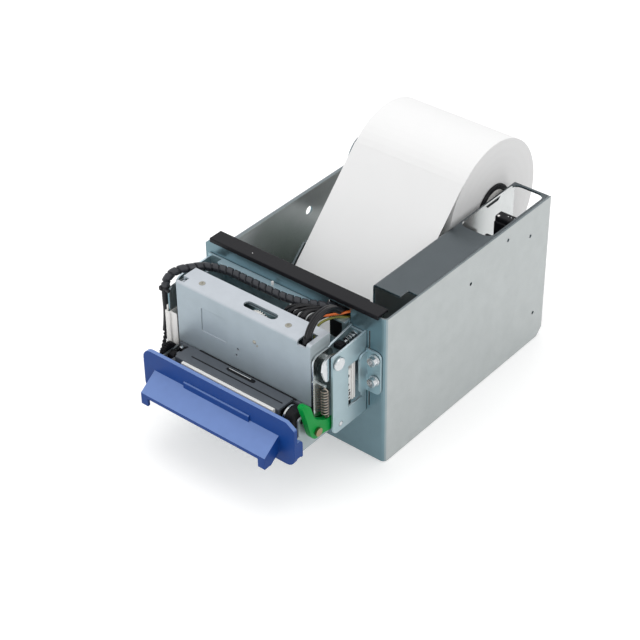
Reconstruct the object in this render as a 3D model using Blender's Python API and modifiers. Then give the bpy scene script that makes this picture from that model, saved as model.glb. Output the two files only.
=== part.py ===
# Kiosk ticket printer: a steel chassis with a paper roll, a fixed print module and a front unit
# that swings out on an axle. Metres, +Z up.
# Places are measured to the right from the chassis's left side, backwards from its front panel and
# up from its underside. One empty moves that corner, so the origin is the middle of the underside.

from math import acos, atan2, cos, hypot, pi, radians, sin, sqrt, tan

import bmesh
import bpy
from mathutils import Matrix, Vector

# Driving dimensions
PAPER_WIDTH = 0.080
LEFT_LANE = 0.0212          # left side of the chassis to the paper
ROLL_SIDE_GAP = 0.0037      # paper to the side channel
CHANNEL_WIDTH = 0.0271
CHASSIS_LENGTH = 0.160
MODULE_TOP = 0.0915         # top of the frame that carries the print module
PANEL_ABOVE_MODULE = 0.0092
LEFT_WALL_DROP = 0.0122     # the left wall is this much lower than the panel
SHEET = 0.0012
BEND = 0.0018               # outer radius of a bend
GAP = 0.0003                # between pieces that touch
OVERRUN = 0.003             # how far a cutter runs past the face that it cuts
ROLL_RADIUS = 0.044
ROLL_Y = 0.1441
ROLL_Z = 0.0884
AXLE_Y = -0.0251            # the front unit swings about this line
AXLE_Z = 0.0807
FEED_Y = -0.0462            # exit roller
FEED_Z = 0.0492
GEAR_MODULE = 0.0005

PAPER_LEFT = LEFT_LANE
PAPER_RIGHT = PAPER_LEFT + PAPER_WIDTH
CHANNEL_LEFT = PAPER_RIGHT + ROLL_SIDE_GAP
CHASSIS_WIDTH = CHANNEL_LEFT + CHANNEL_WIDTH
CHASSIS_HEIGHT = MODULE_TOP + PANEL_ABOVE_MODULE
LEFT_WALL_HEIGHT = CHASSIS_HEIGHT - LEFT_WALL_DROP

# How finely round things are drawn
MERGE = 0.000001
SHARP = radians(35)
CORNER_STEPS = 4
HOLE_STEPS = 16
SHAFT_STEPS = 20
WHEEL_STEPS = 32
ROLL_STEPS = 64
CURVE_STEPS = 24
# Outlines are filled this many times larger, because the fill merges points 0.03 mm apart
FILL_SCALE = 1000

LOOKS = {
    "galvanised": ((0.62, 0.64, 0.64), 0.38, 0.9),
    "plated": ((0.50, 0.60, 0.65), 0.25, 0.9),
    "cover_steel": ((0.63, 0.68, 0.72), 0.42, 0.8),
    "arm_steel": ((0.22, 0.24, 0.24), 0.28, 0.9),
    "bright_steel": ((0.75, 0.75, 0.74), 0.22, 1.0),
    "brass": ((0.62, 0.50, 0.38), 0.3, 1.0),
    "black_plastic": ((0.03, 0.03, 0.035), 0.45, 0.0),
    "grey_plastic": ((0.11, 0.11, 0.13), 0.5, 0.0),
    "white_plastic": ((0.80, 0.80, 0.78), 0.4, 0.0),
    "blue_plastic": ((0.03, 0.09, 0.38), 0.4, 0.0),
    "green_plastic": ((0.0, 0.35, 0.08), 0.35, 0.0),
    "rubber": ((0.03, 0.03, 0.03), 0.7, 0.0),
    "paper": ((0.86, 0.86, 0.86), 0.9, 0.0),
    "board": ((0.02, 0.18, 0.09), 0.5, 0.0),
    "aluminium": ((0.70, 0.71, 0.72), 0.35, 1.0),
}

# Object axes that stand for an outline's first and second direction and its thickness
PLANES = {
    "X": (Vector((0, 1, 0)), Vector((0, 0, 1)), Vector((1, 0, 0))),
    "Y": (Vector((1, 0, 0)), Vector((0, 0, 1)), Vector((0, -1, 0))),
    "Z": (Vector((1, 0, 0)), Vector((0, 1, 0)), Vector((0, 0, 1))),
}


def clear_scene():
    for thing in list(bpy.data.objects):
        bpy.data.objects.remove(thing, do_unlink=True)


def new_collection(name):
    group = bpy.data.collections.new(name)
    bpy.context.scene.collection.children.link(group)
    return group


def material(look):
    found = bpy.data.materials.get(look)
    if found:
        return found
    colour, roughness, metallic = LOOKS[look]
    made = bpy.data.materials.new(look)
    made.use_nodes = True
    shader = made.node_tree.nodes["Principled BSDF"]
    shader.inputs["Base Color"].default_value = (*colour, 1)
    shader.inputs["Roughness"].default_value = roughness
    shader.inputs["Metallic"].default_value = metallic
    made.diffuse_color = (*colour, 1)
    return made


clear_scene()
PARTS = new_collection("kiosk_ticket_printer")
CUTTERS = new_collection("cutters")
CORNER = bpy.data.objects.new("chassis_corner", None)
CORNER.location = (-CHASSIS_WIDTH / 2, -CHASSIS_LENGTH / 2, 0)
PARTS.objects.link(CORNER)


def place(name, data, matrix, look):
    piece = bpy.data.objects.new(name, data)
    PARTS.objects.link(piece)
    piece.parent = CORNER
    piece.matrix_local = matrix
    piece.data.materials.append(material(look))
    return piece


def turn_to(axis, along, centre):
    """Matrix that lays an outline's plane across an axis, at a place along it."""
    first, second, third = PLANES[axis]
    turned_axes = Matrix((first, second, third)).transposed().to_4x4()
    direction = Vector((abs(third.x), abs(third.y), abs(third.z)))
    spot = direction * along + first * centre[0] + second * centre[1]
    return Matrix.Translation(spot) @ turned_axes


def tidy_mesh(mesh, smooth):
    shape = bmesh.new()
    shape.from_mesh(mesh)
    bmesh.ops.remove_doubles(shape, verts=shape.verts, dist=MERGE)
    bmesh.ops.recalc_face_normals(shape, faces=shape.faces)
    shape.to_mesh(mesh)
    shape.free()
    if smooth:
        mesh.shade_smooth()
        mesh.set_sharp_from_angle(angle=SHARP)


def baked_mesh(guide):
    """The evaluated mesh of a guide object, which is then removed."""
    bpy.context.scene.collection.objects.link(guide)
    bpy.context.view_layer.update()
    view = bpy.context.evaluated_depsgraph_get()
    mesh = bpy.data.meshes.new_from_object(guide.evaluated_get(view))
    data = guide.data
    bpy.data.objects.remove(guide, do_unlink=True)
    if isinstance(data, bpy.types.Curve):
        bpy.data.curves.remove(data)
    return mesh


def box(name, low, high, look):
    shape = bmesh.new()
    bmesh.ops.create_cube(shape, size=1)
    size = [b - a for a, b in zip(low, high)]
    bmesh.ops.scale(shape, verts=shape.verts, vec=size)
    mesh = bpy.data.meshes.new(name)
    shape.to_mesh(mesh)
    shape.free()
    middle = [(a + b) / 2 for a, b in zip(low, high)]
    return place(name, mesh, Matrix.Translation(middle), look)


def prism(name, outlines, axis, start, end, look, centre=(0, 0)):
    """A flat shape with its holes, filled and given a thickness along an axis."""
    curve = bpy.data.curves.new(name, "CURVE")
    curve.dimensions = "2D"
    curve.fill_mode = "BOTH"
    curve.extrude = abs(end - start) / 2 * FILL_SCALE
    for outline in outlines:
        spline = curve.splines.new("POLY")
        spline.points.add(len(outline) - 1)
        for point, (u, v) in zip(spline.points, outline):
            point.co = ((u - centre[0]) * FILL_SCALE, (v - centre[1]) * FILL_SCALE, 0, 1)
        spline.use_cyclic_u = True
    mesh = baked_mesh(bpy.data.objects.new(name, curve))
    mesh.transform(Matrix.Scale(1 / FILL_SCALE, 4))
    tidy_mesh(mesh, False)
    return place(name, mesh, turn_to(axis, (start + end) / 2, centre), look)


def turned(name, profile, axis, centre, look, steps=SHAFT_STEPS, closed=False):
    """A profile of (radius, place along the axis) turned round an axis with Screw."""
    sign = -1 if axis == "Y" else 1
    points = [(radius, 0, along * sign) for radius, along in profile]
    edges = [(i, i + 1) for i in range(len(points) - 1)]
    if closed:
        edges.append((len(points) - 1, 0))
    mesh = bpy.data.meshes.new(name)
    mesh.from_pydata(points, edges, [])
    guide = bpy.data.objects.new(name, mesh)
    screw = guide.modifiers.new("turn", "SCREW")
    screw.axis = "Z"
    screw.steps = steps
    screw.render_steps = steps
    screw.use_merge_vertices = True
    screw.merge_threshold = MERGE
    solid = baked_mesh(guide)
    tidy_mesh(solid, True)
    return place(name, solid, turn_to(axis, 0, centre), look)


def rod(name, axis, centre, radius, start, end, look, steps=SHAFT_STEPS):
    profile = [(0, end), (radius, end), (radius, start), (0, start)]
    return turned(name, profile, axis, centre, look, steps)


def tube(name, route, radius, look, sides=2, radii=None):
    """A round cable or wire along a list of points, with closed ends."""
    curve = bpy.data.curves.new(name, "CURVE")
    curve.dimensions = "3D"
    curve.bevel_depth = radius
    curve.bevel_resolution = sides
    curve.use_fill_caps = True
    spline = curve.splines.new("POLY")
    spline.points.add(len(route) - 1)
    spline.use_smooth = True
    for index, (point, spot) in enumerate(zip(spline.points, route)):
        point.co = (*spot, 1)
        if radii:
            point.radius = radii[index]
    return place(name, curve, Matrix(), look)


def combine(piece, other, operation):
    """Cut a piece with another shape, or join the two; the other becomes a hidden guide."""
    step = piece.modifiers.new(operation.lower(), "BOOLEAN")
    step.operation = operation
    step.solver = "EXACT"
    step.object = other
    for group in list(other.users_collection):
        group.objects.unlink(other)
    CUTTERS.objects.link(other)
    other.hide_render = True
    other.display_type = "WIRE"
    return piece


def cut(piece, other):
    return combine(piece, other, "DIFFERENCE")


def join(piece, other):
    return combine(piece, other, "UNION")


def circle(centre, radius, steps=HOLE_STEPS):
    angles = [2 * pi * step / steps for step in range(steps)]
    return [(centre[0] + radius * cos(a), centre[1] + radius * sin(a)) for a in angles]


def rounded(corners, steps=CORNER_STEPS):
    """An outline from corners of (u, v) or (u, v, radius), each radius kept within its sides."""
    points = []
    count = len(corners)
    for index, corner in enumerate(corners):
        spot = Vector(corner[:2])
        radius = corner[2] if len(corner) > 2 else 0
        if radius <= 0:
            points.append(tuple(spot))
            continue
        before = Vector(corners[index - 1][:2]) - spot
        after = Vector(corners[(index + 1) % count][:2]) - spot
        half = acos(max(-1, min(1, before.normalized().dot(after.normalized())))) / 2
        reach = min(radius / tan(half), min(before.length, after.length) / 2)
        radius = reach * tan(half)
        bisector = (before.normalized() + after.normalized()).normalized()
        centre = spot + bisector * (radius / sin(half))
        first = spot + before.normalized() * reach - centre
        last = spot + after.normalized() * reach - centre
        turn = atan2(first.x * last.y - first.y * last.x, first.dot(last))
        for step in range(steps + 1):
            spin = Matrix.Rotation(turn * step / steps, 2)
            points.append(tuple(centre + spin @ first))
    return points


def slot_outline(middle, length, width, steps=CORNER_STEPS * 2):
    half = length / 2
    ends = [(middle[0] + half, middle[1] + width / 2, width / 2),
            (middle[0] - half, middle[1] + width / 2, width / 2),
            (middle[0] - half, middle[1] - width / 2, width / 2),
            (middle[0] + half, middle[1] - width / 2, width / 2)]
    return rounded(ends, steps // 2)


def rectangle(low, high, radius=0):
    return rounded([(low[0], low[1], radius), (high[0], low[1], radius),
                    (high[0], high[1], radius), (low[0], high[1], radius)])


def smooth_route(points, spacing):
    """Evenly spaced points on a smooth curve through the given ones."""
    spots = [Vector(p) for p in points]
    padded = [2 * spots[0] - spots[1]] + spots + [2 * spots[-1] - spots[-2]]
    fine = []
    for a, b, c, d in zip(padded, padded[1:], padded[2:], padded[3:]):
        for step in range(CURVE_STEPS):
            t = step / CURVE_STEPS
            spot = 2 * b + (c - a) * t + (2 * a - 5 * b + 4 * c - d) * t ** 2
            fine.append((spot + (3 * b - a - 3 * c + d) * t ** 3) / 2)
    fine.append(spots[-1])
    total = sum((b - a).length for a, b in zip(fine, fine[1:]))
    count = max(2, round(total / spacing))
    route, walked, target = [fine[0]], 0, total / count
    for a, b in zip(fine, fine[1:]):
        length = (b - a).length
        while length > 0 and walked + length >= target * len(route) and len(route) < count:
            route.append(a.lerp(b, (target * len(route) - walked) / length))
        walked += length
    route.append(fine[-1])
    return route


# Chassis tray: base, left wall with its folded top edge, rear flange, board posts
FLANGE_DEPTH = 0.008
FLANGE_INSET = 0.006
FLANGE_CORNER = 0.006
FLANGE_HOLE_RADIUS = 0.0022
FLANGE_HOLE_INSET = 0.012
LEFT_HEM = 0.0034
SIDE_HOLE_RADIUS = 0.003
SIDE_HOLE_Y = 0.0919
SIDE_HOLE_Z = 0.0724
FOOT = 0.006
BOARD_LEFT = 0.030
BOARD_RIGHT = 0.096
BOARD_FRONT = 0.072
BOARD_BACK = 0.148
BOARD_HEIGHT = 0.0070
BOARD_THICKNESS = 0.0016
POST_RADIUS = 0.0030
POST_INSET = 0.0045
TRAY_FRONT = SHEET + GAP
WALL_RIGHT = CHASSIS_WIDTH - SHEET


def make_chassis_tray():
    back = CHASSIS_LENGTH + FLANGE_DEPTH
    right = WALL_RIGHT - GAP
    base = rounded([
        (FOOT / 2, TRAY_FRONT), (right, TRAY_FRONT, BEND - GAP), (right, CHASSIS_LENGTH),
        (CHASSIS_WIDTH - FLANGE_INSET, CHASSIS_LENGTH),
        (CHASSIS_WIDTH - FLANGE_INSET, back, FLANGE_CORNER),
        (FLANGE_INSET, back, FLANGE_CORNER),
        (FLANGE_INSET, CHASSIS_LENGTH), (FOOT / 2, CHASSIS_LENGTH)])
    hole_y = CHASSIS_LENGTH + FLANGE_DEPTH / 2
    hole_left = FLANGE_INSET + FLANGE_HOLE_INSET
    holes = [circle((hole_left, hole_y), FLANGE_HOLE_RADIUS),
             circle((CHASSIS_WIDTH - hole_left, hole_y), FLANGE_HOLE_RADIUS)]
    tray = prism("chassis_tray", [base] + holes, "Z", 0, SHEET, "galvanised")
    top = LEFT_WALL_HEIGHT
    wall = rounded([
        (0, 0, BEND), (FOOT, 0), (FOOT, SHEET), (SHEET, SHEET, BEND - SHEET),
        (SHEET, top - SHEET, BEND - SHEET), (LEFT_HEM, top - SHEET), (LEFT_HEM, top),
        (0, top, BEND)])
    left = prism("left_wall", [wall], "Y", TRAY_FRONT, CHASSIS_LENGTH, "galvanised")
    cut(left, rod("left_wall_hole", "X", (SIDE_HOLE_Y, SIDE_HOLE_Z), SIDE_HOLE_RADIUS,
                  -OVERRUN, SHEET + OVERRUN, "galvanised", HOLE_STEPS))
    join(tray, left)
    for x in (BOARD_LEFT + POST_INSET, BOARD_RIGHT - POST_INSET):
        for y in (BOARD_FRONT + POST_INSET, BOARD_BACK - POST_INSET):
            join(tray, rod("board_post", "Z", (x, y), POST_RADIUS, SHEET / 2,
                           BOARD_HEIGHT - GAP, "galvanised", HOLE_STEPS))


# Outer wall: the front panel and the right wall, bent from one sheet
PANEL_OPENING_LEFT = 0.012
PANEL_OPENING_BOTTOM = 0.026
PANEL_TOP_BAND = 0.0117
PANEL_OPENING_TOP = CHASSIS_HEIGHT - PANEL_TOP_BAND
CABLE_NOTCH_LEFT = 0.0910
CABLE_TOP_BAND = 0.0032
CABLE_NOTCH_TOP = CHASSIS_HEIGHT - CABLE_TOP_BAND
PANEL_CHAMFER = 0.004
WALL_HOLE_RADIUS = 0.0012
# Distances of the right wall's small holes from its rear edge and its top edge
WALL_HOLES = ((0.0805, 0.0193), (0.0440, 0.0084), (0.0201, 0.0180), (0.0113, 0.0791))
REAR_CORNER = 0.005
PANEL_SLOT_WIDTH = 0.0009
PANEL_SLOT_BOTTOM = 0.0369
PANEL_SLOT_REACH = 0.0194
PANEL_SLOT_X = PAPER_RIGHT + PANEL_SLOT_REACH


def make_outer_wall():
    width, length, height = CHASSIS_WIDTH, CHASSIS_LENGTH, CHASSIS_HEIGHT
    plan = rounded([
        (0, 0), (width, 0, BEND + SHEET), (width, length), (width - SHEET, length),
        (width - SHEET, SHEET, BEND), (0, SHEET)])
    wall = prism("outer_wall", [plan], "Z", 0, height, "galvanised")
    opening_right = BRACKET_INNER_LEFT - GAP
    opening = rounded([
        (PANEL_OPENING_LEFT, PANEL_OPENING_BOTTOM, BEND), (opening_right, PANEL_OPENING_BOTTOM, BEND),
        (opening_right, CABLE_NOTCH_TOP, BEND), (CABLE_NOTCH_LEFT, CABLE_NOTCH_TOP, BEND),
        (CABLE_NOTCH_LEFT, PANEL_OPENING_TOP), (PANEL_OPENING_LEFT, PANEL_OPENING_TOP, BEND)])
    half = PANEL_SLOT_WIDTH / 2
    slot = rectangle((PANEL_SLOT_X - half, PANEL_SLOT_BOTTOM), (PANEL_SLOT_X + half, PANEL_OPENING_TOP))
    screws = [circle((TAB_SCREW_X, z), TAB_HOLE_RADIUS) for z in TAB_SCREW_HEIGHTS]
    chamfer = [(-OVERRUN, height - PANEL_CHAMFER), (0, height - PANEL_CHAMFER),
               (PANEL_CHAMFER, height), (PANEL_CHAMFER, height + OVERRUN), (-OVERRUN, height + OVERRUN)]
    cut(wall, prism("panel_cuts", [opening, slot, chamfer] + screws, "Y", -OVERRUN,
                    SHEET + OVERRUN, "galvanised"))
    holes = [circle((length - back, height - drop), WALL_HOLE_RADIUS, HOLE_STEPS // 2)
             for back, drop in WALL_HOLES]
    rear = [(length - REAR_CORNER, -OVERRUN), (length + OVERRUN, -OVERRUN),
            (length + OVERRUN, REAR_CORNER), (length, REAR_CORNER), (length - REAR_CORNER, 0)]
    cut(wall, prism("wall_cuts", holes + [rear], "X", width - SHEET - OVERRUN,
                    width + OVERRUN, "galvanised"))


# Side channel: inner wall and top plate beside the roll
CHANNEL_FRONT = 0.023
CHANNEL_NOTCH_WIDTH = 0.0063
CHANNEL_NOTCH_DEPTH = 0.0070
CHANNEL_OPENING_LENGTH = 0.0572
CHANNEL_BACK_BAND = 0.0016
CHANNEL_OPENING_INSET = 0.0021
CHANNEL_OPENING_CORNER = 0.005
# Dip in the inner wall beside the spindle's end, under the bend
DIP_TOP_LENGTH = 0.0165
DIP_BOTTOM_LENGTH = 0.0110
DIP_AHEAD = 0.0068          # its middle is this far ahead of the roll's axis
DIP_DEPTH = 0.0027
DIP_CORNER = 0.0015


def make_side_channel():
    left, right = CHANNEL_LEFT, WALL_RIGHT - GAP
    top = CHASSIS_HEIGHT
    profile = rounded([
        (left, SHEET + GAP), (left + SHEET, SHEET + GAP), (left + SHEET, top - SHEET, BEND - SHEET),
        (right, top - SHEET), (right, top), (left, top, BEND)])
    channel = prism("side_channel", [profile], "Y", CHANNEL_FRONT, CHASSIS_LENGTH, "galvanised")
    inset = CHANNEL_OPENING_INSET
    back = CHASSIS_LENGTH - CHANNEL_BACK_BAND
    opening = rectangle((left + inset, back - CHANNEL_OPENING_LENGTH), (right - inset + SHEET / 2, back),
                        CHANNEL_OPENING_CORNER)
    notch = rectangle((right - CHANNEL_NOTCH_WIDTH, CHANNEL_FRONT - OVERRUN),
                      (right + OVERRUN, CHANNEL_FRONT + CHANNEL_NOTCH_DEPTH))
    cut(channel, prism("channel_top_cuts", [opening, notch], "Z", top - SHEET - OVERRUN / 2,
                       top + OVERRUN, "galvanised"))
    middle, dip_top = ROLL_Y - DIP_AHEAD, top - BEND
    dip = rounded([
        (middle - DIP_TOP_LENGTH / 2, dip_top), (middle + DIP_TOP_LENGTH / 2, dip_top),
        (middle + DIP_BOTTOM_LENGTH / 2, dip_top - DIP_DEPTH, DIP_CORNER),
        (middle - DIP_BOTTOM_LENGTH / 2, dip_top - DIP_DEPTH, DIP_CORNER)])
    cut(channel, prism("channel_dip", [dip], "X", left - OVERRUN, left + SHEET + OVERRUN / 4,
                       "galvanised"))


# Plastic bar clipped on the front panel's top edge
BAR_LEFT = 0.0046
BAR_REACH = 0.0260
BAR_AHEAD = 0.0013
BAR_DEPTH = 0.0100
BAR_TOP = 0.0012
BAR_LIP = 0.0011
BAR_STEP = 0.0012
BAR_STEP_REACH = 0.0128
BAR_ROUND = 0.0005


def make_top_bar():
    front = -BAR_AHEAD
    back = front + BAR_DEPTH
    seat = CHASSIS_HEIGHT + GAP
    low = CHASSIS_HEIGHT - BAR_LIP
    wall = BAR_AHEAD - GAP
    profile = rounded([
        (front, low), (front + wall, low), (front + wall, seat), (SHEET + GAP, seat),
        (SHEET + GAP, low), (SHEET + GAP + wall, low), (SHEET + GAP + wall, seat),
        (back - wall, seat), (back - wall, low), (back, low),
        (back, seat + BAR_TOP, BAR_ROUND), (front, seat + BAR_TOP, BAR_ROUND)])
    right = PAPER_RIGHT + BAR_REACH
    bar = prism("top_bar", [profile], "X", BAR_LEFT, right, "black_plastic")
    cut(bar, box("bar_step", (PAPER_RIGHT + BAR_STEP_REACH, back - BAR_STEP, low - OVERRUN),
                 (right + OVERRUN, back + OVERRUN, seat + BAR_TOP + OVERRUN), "black_plastic"))


# Module frame: back wall against the panel, left outer and inner plates
FRAME_TOP = MODULE_TOP
FRAME_BOTTOM = 0.032
FRAME_REACH = 0.0181
FRAME_INNER_REACH = 0.0076
FRAME_LEFT = PAPER_LEFT - FRAME_REACH
FRAME_INNER_LEFT = PAPER_LEFT - FRAME_INNER_REACH
FRAME_DEPTH = 0.030
FRAME_LEDGE = 0.0040
FRAME_PLATE_DROP = 0.0020
FRAME_PLATE_TOP = FRAME_TOP - FRAME_PLATE_DROP
FRAME_LUG_BOTTOM = 0.0517
FRAME_INNER_BOTTOM = 0.058
AXLE_RADIUS = 0.0020
AXLE_HOLE_RADIUS = 0.0023
HEAD_ROD_Y = -0.0260
HEAD_ROD_Z = 0.0550
HEAD_ROD_RADIUS = 0.0015
CABLE_WINDOW_LEFT = 0.064
CABLE_WINDOW_BOTTOM = 0.074
PATH_TOP = 0.054
FRAME_CORNER = 0.005

# Right bracket: a channel of two plates and a web
BRACKET_INNER_REACH = 0.0064
BRACKET_OUTER_REACH = 0.0163
BRACKET_INNER_LEFT = PAPER_RIGHT + BRACKET_INNER_REACH
BRACKET_OUTER_LEFT = PAPER_RIGHT + BRACKET_OUTER_REACH
BRACKET_DEPTH = 0.0298
BRACKET_TOP = 0.0883
BRACKET_DROP = 0.0017       # the outer plate's front is this much lower than its back
BRACKET_BOTTOM = 0.0326
BRACKET_INNER_DEPTH = 0.0280
BRACKET_INNER_DROP = 0.0047
BRACKET_CORNER = 0.004
# Window in the outer plate, through which the lever's switch is reached
SWITCH_WINDOW_REAR = 0.0042
SWITCH_WINDOW_LENGTH = 0.0120
SWITCH_WINDOW_RISE = 0.0120
SWITCH_WINDOW_HEIGHT = 0.0286


def make_module_frame():
    back = -GAP
    front = back - SHEET
    right = BRACKET_INNER_LEFT - GAP
    wall = rounded([
        (FRAME_LEFT, FRAME_BOTTOM), (FRAME_INNER_LEFT - SHEET, FRAME_BOTTOM),
        (FRAME_INNER_LEFT - SHEET, PATH_TOP, BEND), (right, PATH_TOP), (right, FRAME_TOP),
        (FRAME_LEFT, FRAME_TOP)])
    cables = rectangle((CABLE_WINDOW_LEFT, CABLE_WINDOW_BOTTOM),
                       (right - FRAME_CORNER, PANEL_OPENING_TOP), BEND)
    frame = prism("module_frame", [wall, cables], "Y", front, back, "plated")
    ledge = box("frame_ledge", (FRAME_INNER_LEFT, back - SHEET - FRAME_LEDGE, FRAME_TOP - SHEET),
                (right, back - SHEET / 2, FRAME_TOP), "plated")
    join(frame, ledge)
    outer = rounded([
        (-FRAME_DEPTH, FRAME_BOTTOM, FRAME_CORNER), (back, FRAME_BOTTOM),
        (back, FRAME_PLATE_TOP), (-FRAME_DEPTH, FRAME_PLATE_TOP, FRAME_CORNER)])
    outer_hole = circle((AXLE_Y, AXLE_Z), AXLE_HOLE_RADIUS)
    join(frame, prism("frame_left_plate", [outer, outer_hole], "X", FRAME_LEFT,
                      FRAME_LEFT + SHEET, "plated"))
    inner = rounded([
        (-FRAME_DEPTH, FRAME_LUG_BOTTOM), (HEAD_ROD_Y + FRAME_LEDGE, FRAME_LUG_BOTTOM),
        (HEAD_ROD_Y + FRAME_LEDGE, FRAME_INNER_BOTTOM), (back, FRAME_INNER_BOTTOM),
        (back, FRAME_TOP - SHEET), (-FRAME_DEPTH, FRAME_TOP - SHEET, FRAME_CORNER)])
    inner_hole = circle((HEAD_ROD_Y, HEAD_ROD_Z), HEAD_ROD_RADIUS + GAP)
    join(frame, prism("frame_inner_plate", [inner, inner_hole], "X", FRAME_INNER_LEFT,
                      FRAME_INNER_LEFT + SHEET, "plated"))


def make_right_bracket():
    inner, outer = BRACKET_INNER_LEFT, BRACKET_OUTER_LEFT
    back = -GAP
    hole = circle((AXLE_Y, AXLE_Z), AXLE_HOLE_RADIUS)
    side = rounded([
        (-BRACKET_DEPTH, BRACKET_BOTTOM, BRACKET_CORNER), (back, BRACKET_BOTTOM),
        (back, BRACKET_TOP), (-BRACKET_DEPTH, BRACKET_TOP - BRACKET_DROP)])
    window_back, window_low = -SWITCH_WINDOW_REAR, BRACKET_BOTTOM + SWITCH_WINDOW_RISE
    window = rectangle((window_back - SWITCH_WINDOW_LENGTH, window_low),
                       (window_back, window_low + SWITCH_WINDOW_HEIGHT))
    bracket = prism("right_bracket", [side, hole, window], "X", outer, outer + SHEET, "plated")
    cut(bracket, rod("catch_pin_hole", "X", (CATCH_Y, CATCH_Z), CATCH_RADIUS + GAP,
                     outer - OVERRUN, outer + SHEET + OVERRUN, "plated", HOLE_STEPS))
    inner_side = rounded([
        (-BRACKET_INNER_DEPTH, FRAME_LUG_BOTTOM, BEND), (back, FRAME_LUG_BOTTOM),
        (back, BRACKET_TOP), (-BRACKET_INNER_DEPTH, BRACKET_TOP - BRACKET_INNER_DROP, BEND)])
    rod_hole = circle((HEAD_ROD_Y, HEAD_ROD_Z), HEAD_ROD_RADIUS + GAP)
    join(bracket, prism("bracket_inner", [inner_side, hole, rod_hole], "X", inner, inner + SHEET,
                        "plated"))
    join(bracket, box("bracket_web", (inner + SHEET / 2, back - SHEET, FRAME_LUG_BOTTOM),
                      (outer + SHEET / 2, back, BRACKET_TOP - SHEET), "plated"))


# L tab and its two cap screws, which hold the bracket to the panel
TAB_REACH = 0.0284
TAB_RIGHT = PAPER_RIGHT + TAB_REACH
TAB_BOTTOM = 0.0484
TAB_TOP = 0.0771
TAB_SIDE_BOTTOM = 0.0490
TAB_SIDE_TOP = 0.0755
TAB_SIDE_DEPTH = 0.0080
TAB_CORNER = 0.0035
TAB_HOLE_RADIUS = 0.0018
TAB_SCREW_REACH = 0.0246
TAB_SCREW_X = PAPER_RIGHT + TAB_SCREW_REACH
TAB_SCREW_HEIGHTS = (0.0726, 0.0580)
TAB_SCREW_RADIUS = 0.0015
TAB_SCREW_LENGTH = 0.0060
CAP_RADIUS = 0.0028
CAP_HEIGHT = 0.0030
SOCKET_RADIUS = 0.0014
WASHER_RADIUS = 0.0034
WASHER_THICKNESS = 0.0007


def make_bracket_tab():
    left = BRACKET_OUTER_LEFT + SHEET + GAP
    back = -GAP
    face = rounded([
        (left, TAB_BOTTOM), (TAB_RIGHT, TAB_BOTTOM, TAB_CORNER), (TAB_RIGHT, TAB_TOP, TAB_CORNER),
        (left, TAB_TOP)])
    holes = [circle((TAB_SCREW_X, z), TAB_HOLE_RADIUS) for z in TAB_SCREW_HEIGHTS]
    tab = prism("bracket_tab", [face] + holes, "Y", back - SHEET, back, "plated")
    side = rounded([
        (-TAB_SIDE_DEPTH, TAB_SIDE_BOTTOM, TAB_CORNER), (back, TAB_SIDE_BOTTOM),
        (back, TAB_SIDE_TOP), (-TAB_SIDE_DEPTH, TAB_SIDE_TOP, TAB_CORNER)])
    join(tab, prism("tab_side", [side], "X", left, left + SHEET, "plated"))
    face_front = back - SHEET - GAP
    for name, z in zip(("tab_screw_upper", "tab_screw_lower"), TAB_SCREW_HEIGHTS):
        head = face_front - WASHER_THICKNESS
        profile = [
            (0, head - CAP_HEIGHT / 2), (SOCKET_RADIUS, head - CAP_HEIGHT / 2),
            (SOCKET_RADIUS, head - CAP_HEIGHT), (CAP_RADIUS, head - CAP_HEIGHT), (CAP_RADIUS, head),
            (WASHER_RADIUS, head), (WASHER_RADIUS, face_front), (TAB_SCREW_RADIUS, face_front),
            (TAB_SCREW_RADIUS, face_front + TAB_SCREW_LENGTH), (0, face_front + TAB_SCREW_LENGTH)]
        turned(name, profile, "Y", (TAB_SCREW_X, z), "bright_steel")


# Small pieces on the right bracket
STOP_WIDTH = 0.0050
STOP_BACK = -0.0120
STOP_DEPTH = 0.0050
STOP_BOTTOM = 0.0820
STOP_HEIGHT = 0.0062
STOP_ROUND = 0.0008
CATCH_Y = -0.0228
CATCH_Z = 0.0370
CATCH_RADIUS = 0.0014
CATCH_LENGTH = 0.0045
AXLE_HEAD_RADIUS = 0.0041
AXLE_HEAD = 0.0014
AXLE_HEAD_ROUND = 0.0004


def make_bracket_stop():
    left = BRACKET_INNER_LEFT + SHEET + GAP
    outline = rectangle((STOP_BACK - STOP_DEPTH, STOP_BOTTOM),
                        (STOP_BACK, STOP_BOTTOM + STOP_HEIGHT), STOP_ROUND)
    prism("bracket_stop", [outline], "X", left, left + STOP_WIDTH, "black_plastic")


def make_catch_pin():
    flush, tip = BRACKET_OUTER_LEFT + SHEET, BRACKET_OUTER_LEFT - CATCH_LENGTH
    profile = [(0, flush), (CATCH_RADIUS, flush), (CATCH_RADIUS, tip), (0, tip)]
    turned("catch_pin", profile, "X", (CATCH_Y, CATCH_Z), "bright_steel", HOLE_STEPS)


def axle_profile(head_face, tip, outwards):
    """Half outline of an axle whose head stands outside its plate; outwards is 1 or -1."""
    outer = head_face + outwards * AXLE_HEAD
    rim = outer - outwards * AXLE_HEAD_ROUND
    return [(0, outer), (AXLE_HEAD_RADIUS - AXLE_HEAD_ROUND, outer), (AXLE_HEAD_RADIUS, rim),
            (AXLE_HEAD_RADIUS, head_face), (AXLE_RADIUS, head_face), (AXLE_RADIUS, tip), (0, tip)]


def make_axles():
    spot = (AXLE_Y, AXLE_Z)
    right_face = BRACKET_OUTER_LEFT + SHEET + GAP
    turned("axle_right", axle_profile(right_face, BRACKET_INNER_LEFT - GAP, 1), "X", spot,
           "bright_steel", WHEEL_STEPS)
    left_face = FRAME_LEFT - GAP
    turned("axle_left", axle_profile(left_face, LEFT_ARM_X + SHEET + GAP, -1), "X", spot,
           "bright_steel")


# Hook plate on the right axle, between the arm and the bracket's outer plate
HOOK_REACH = 0.0144
HOOK_X = PAPER_RIGHT + HOOK_REACH
HOOK_SIZE = 0.016
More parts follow.
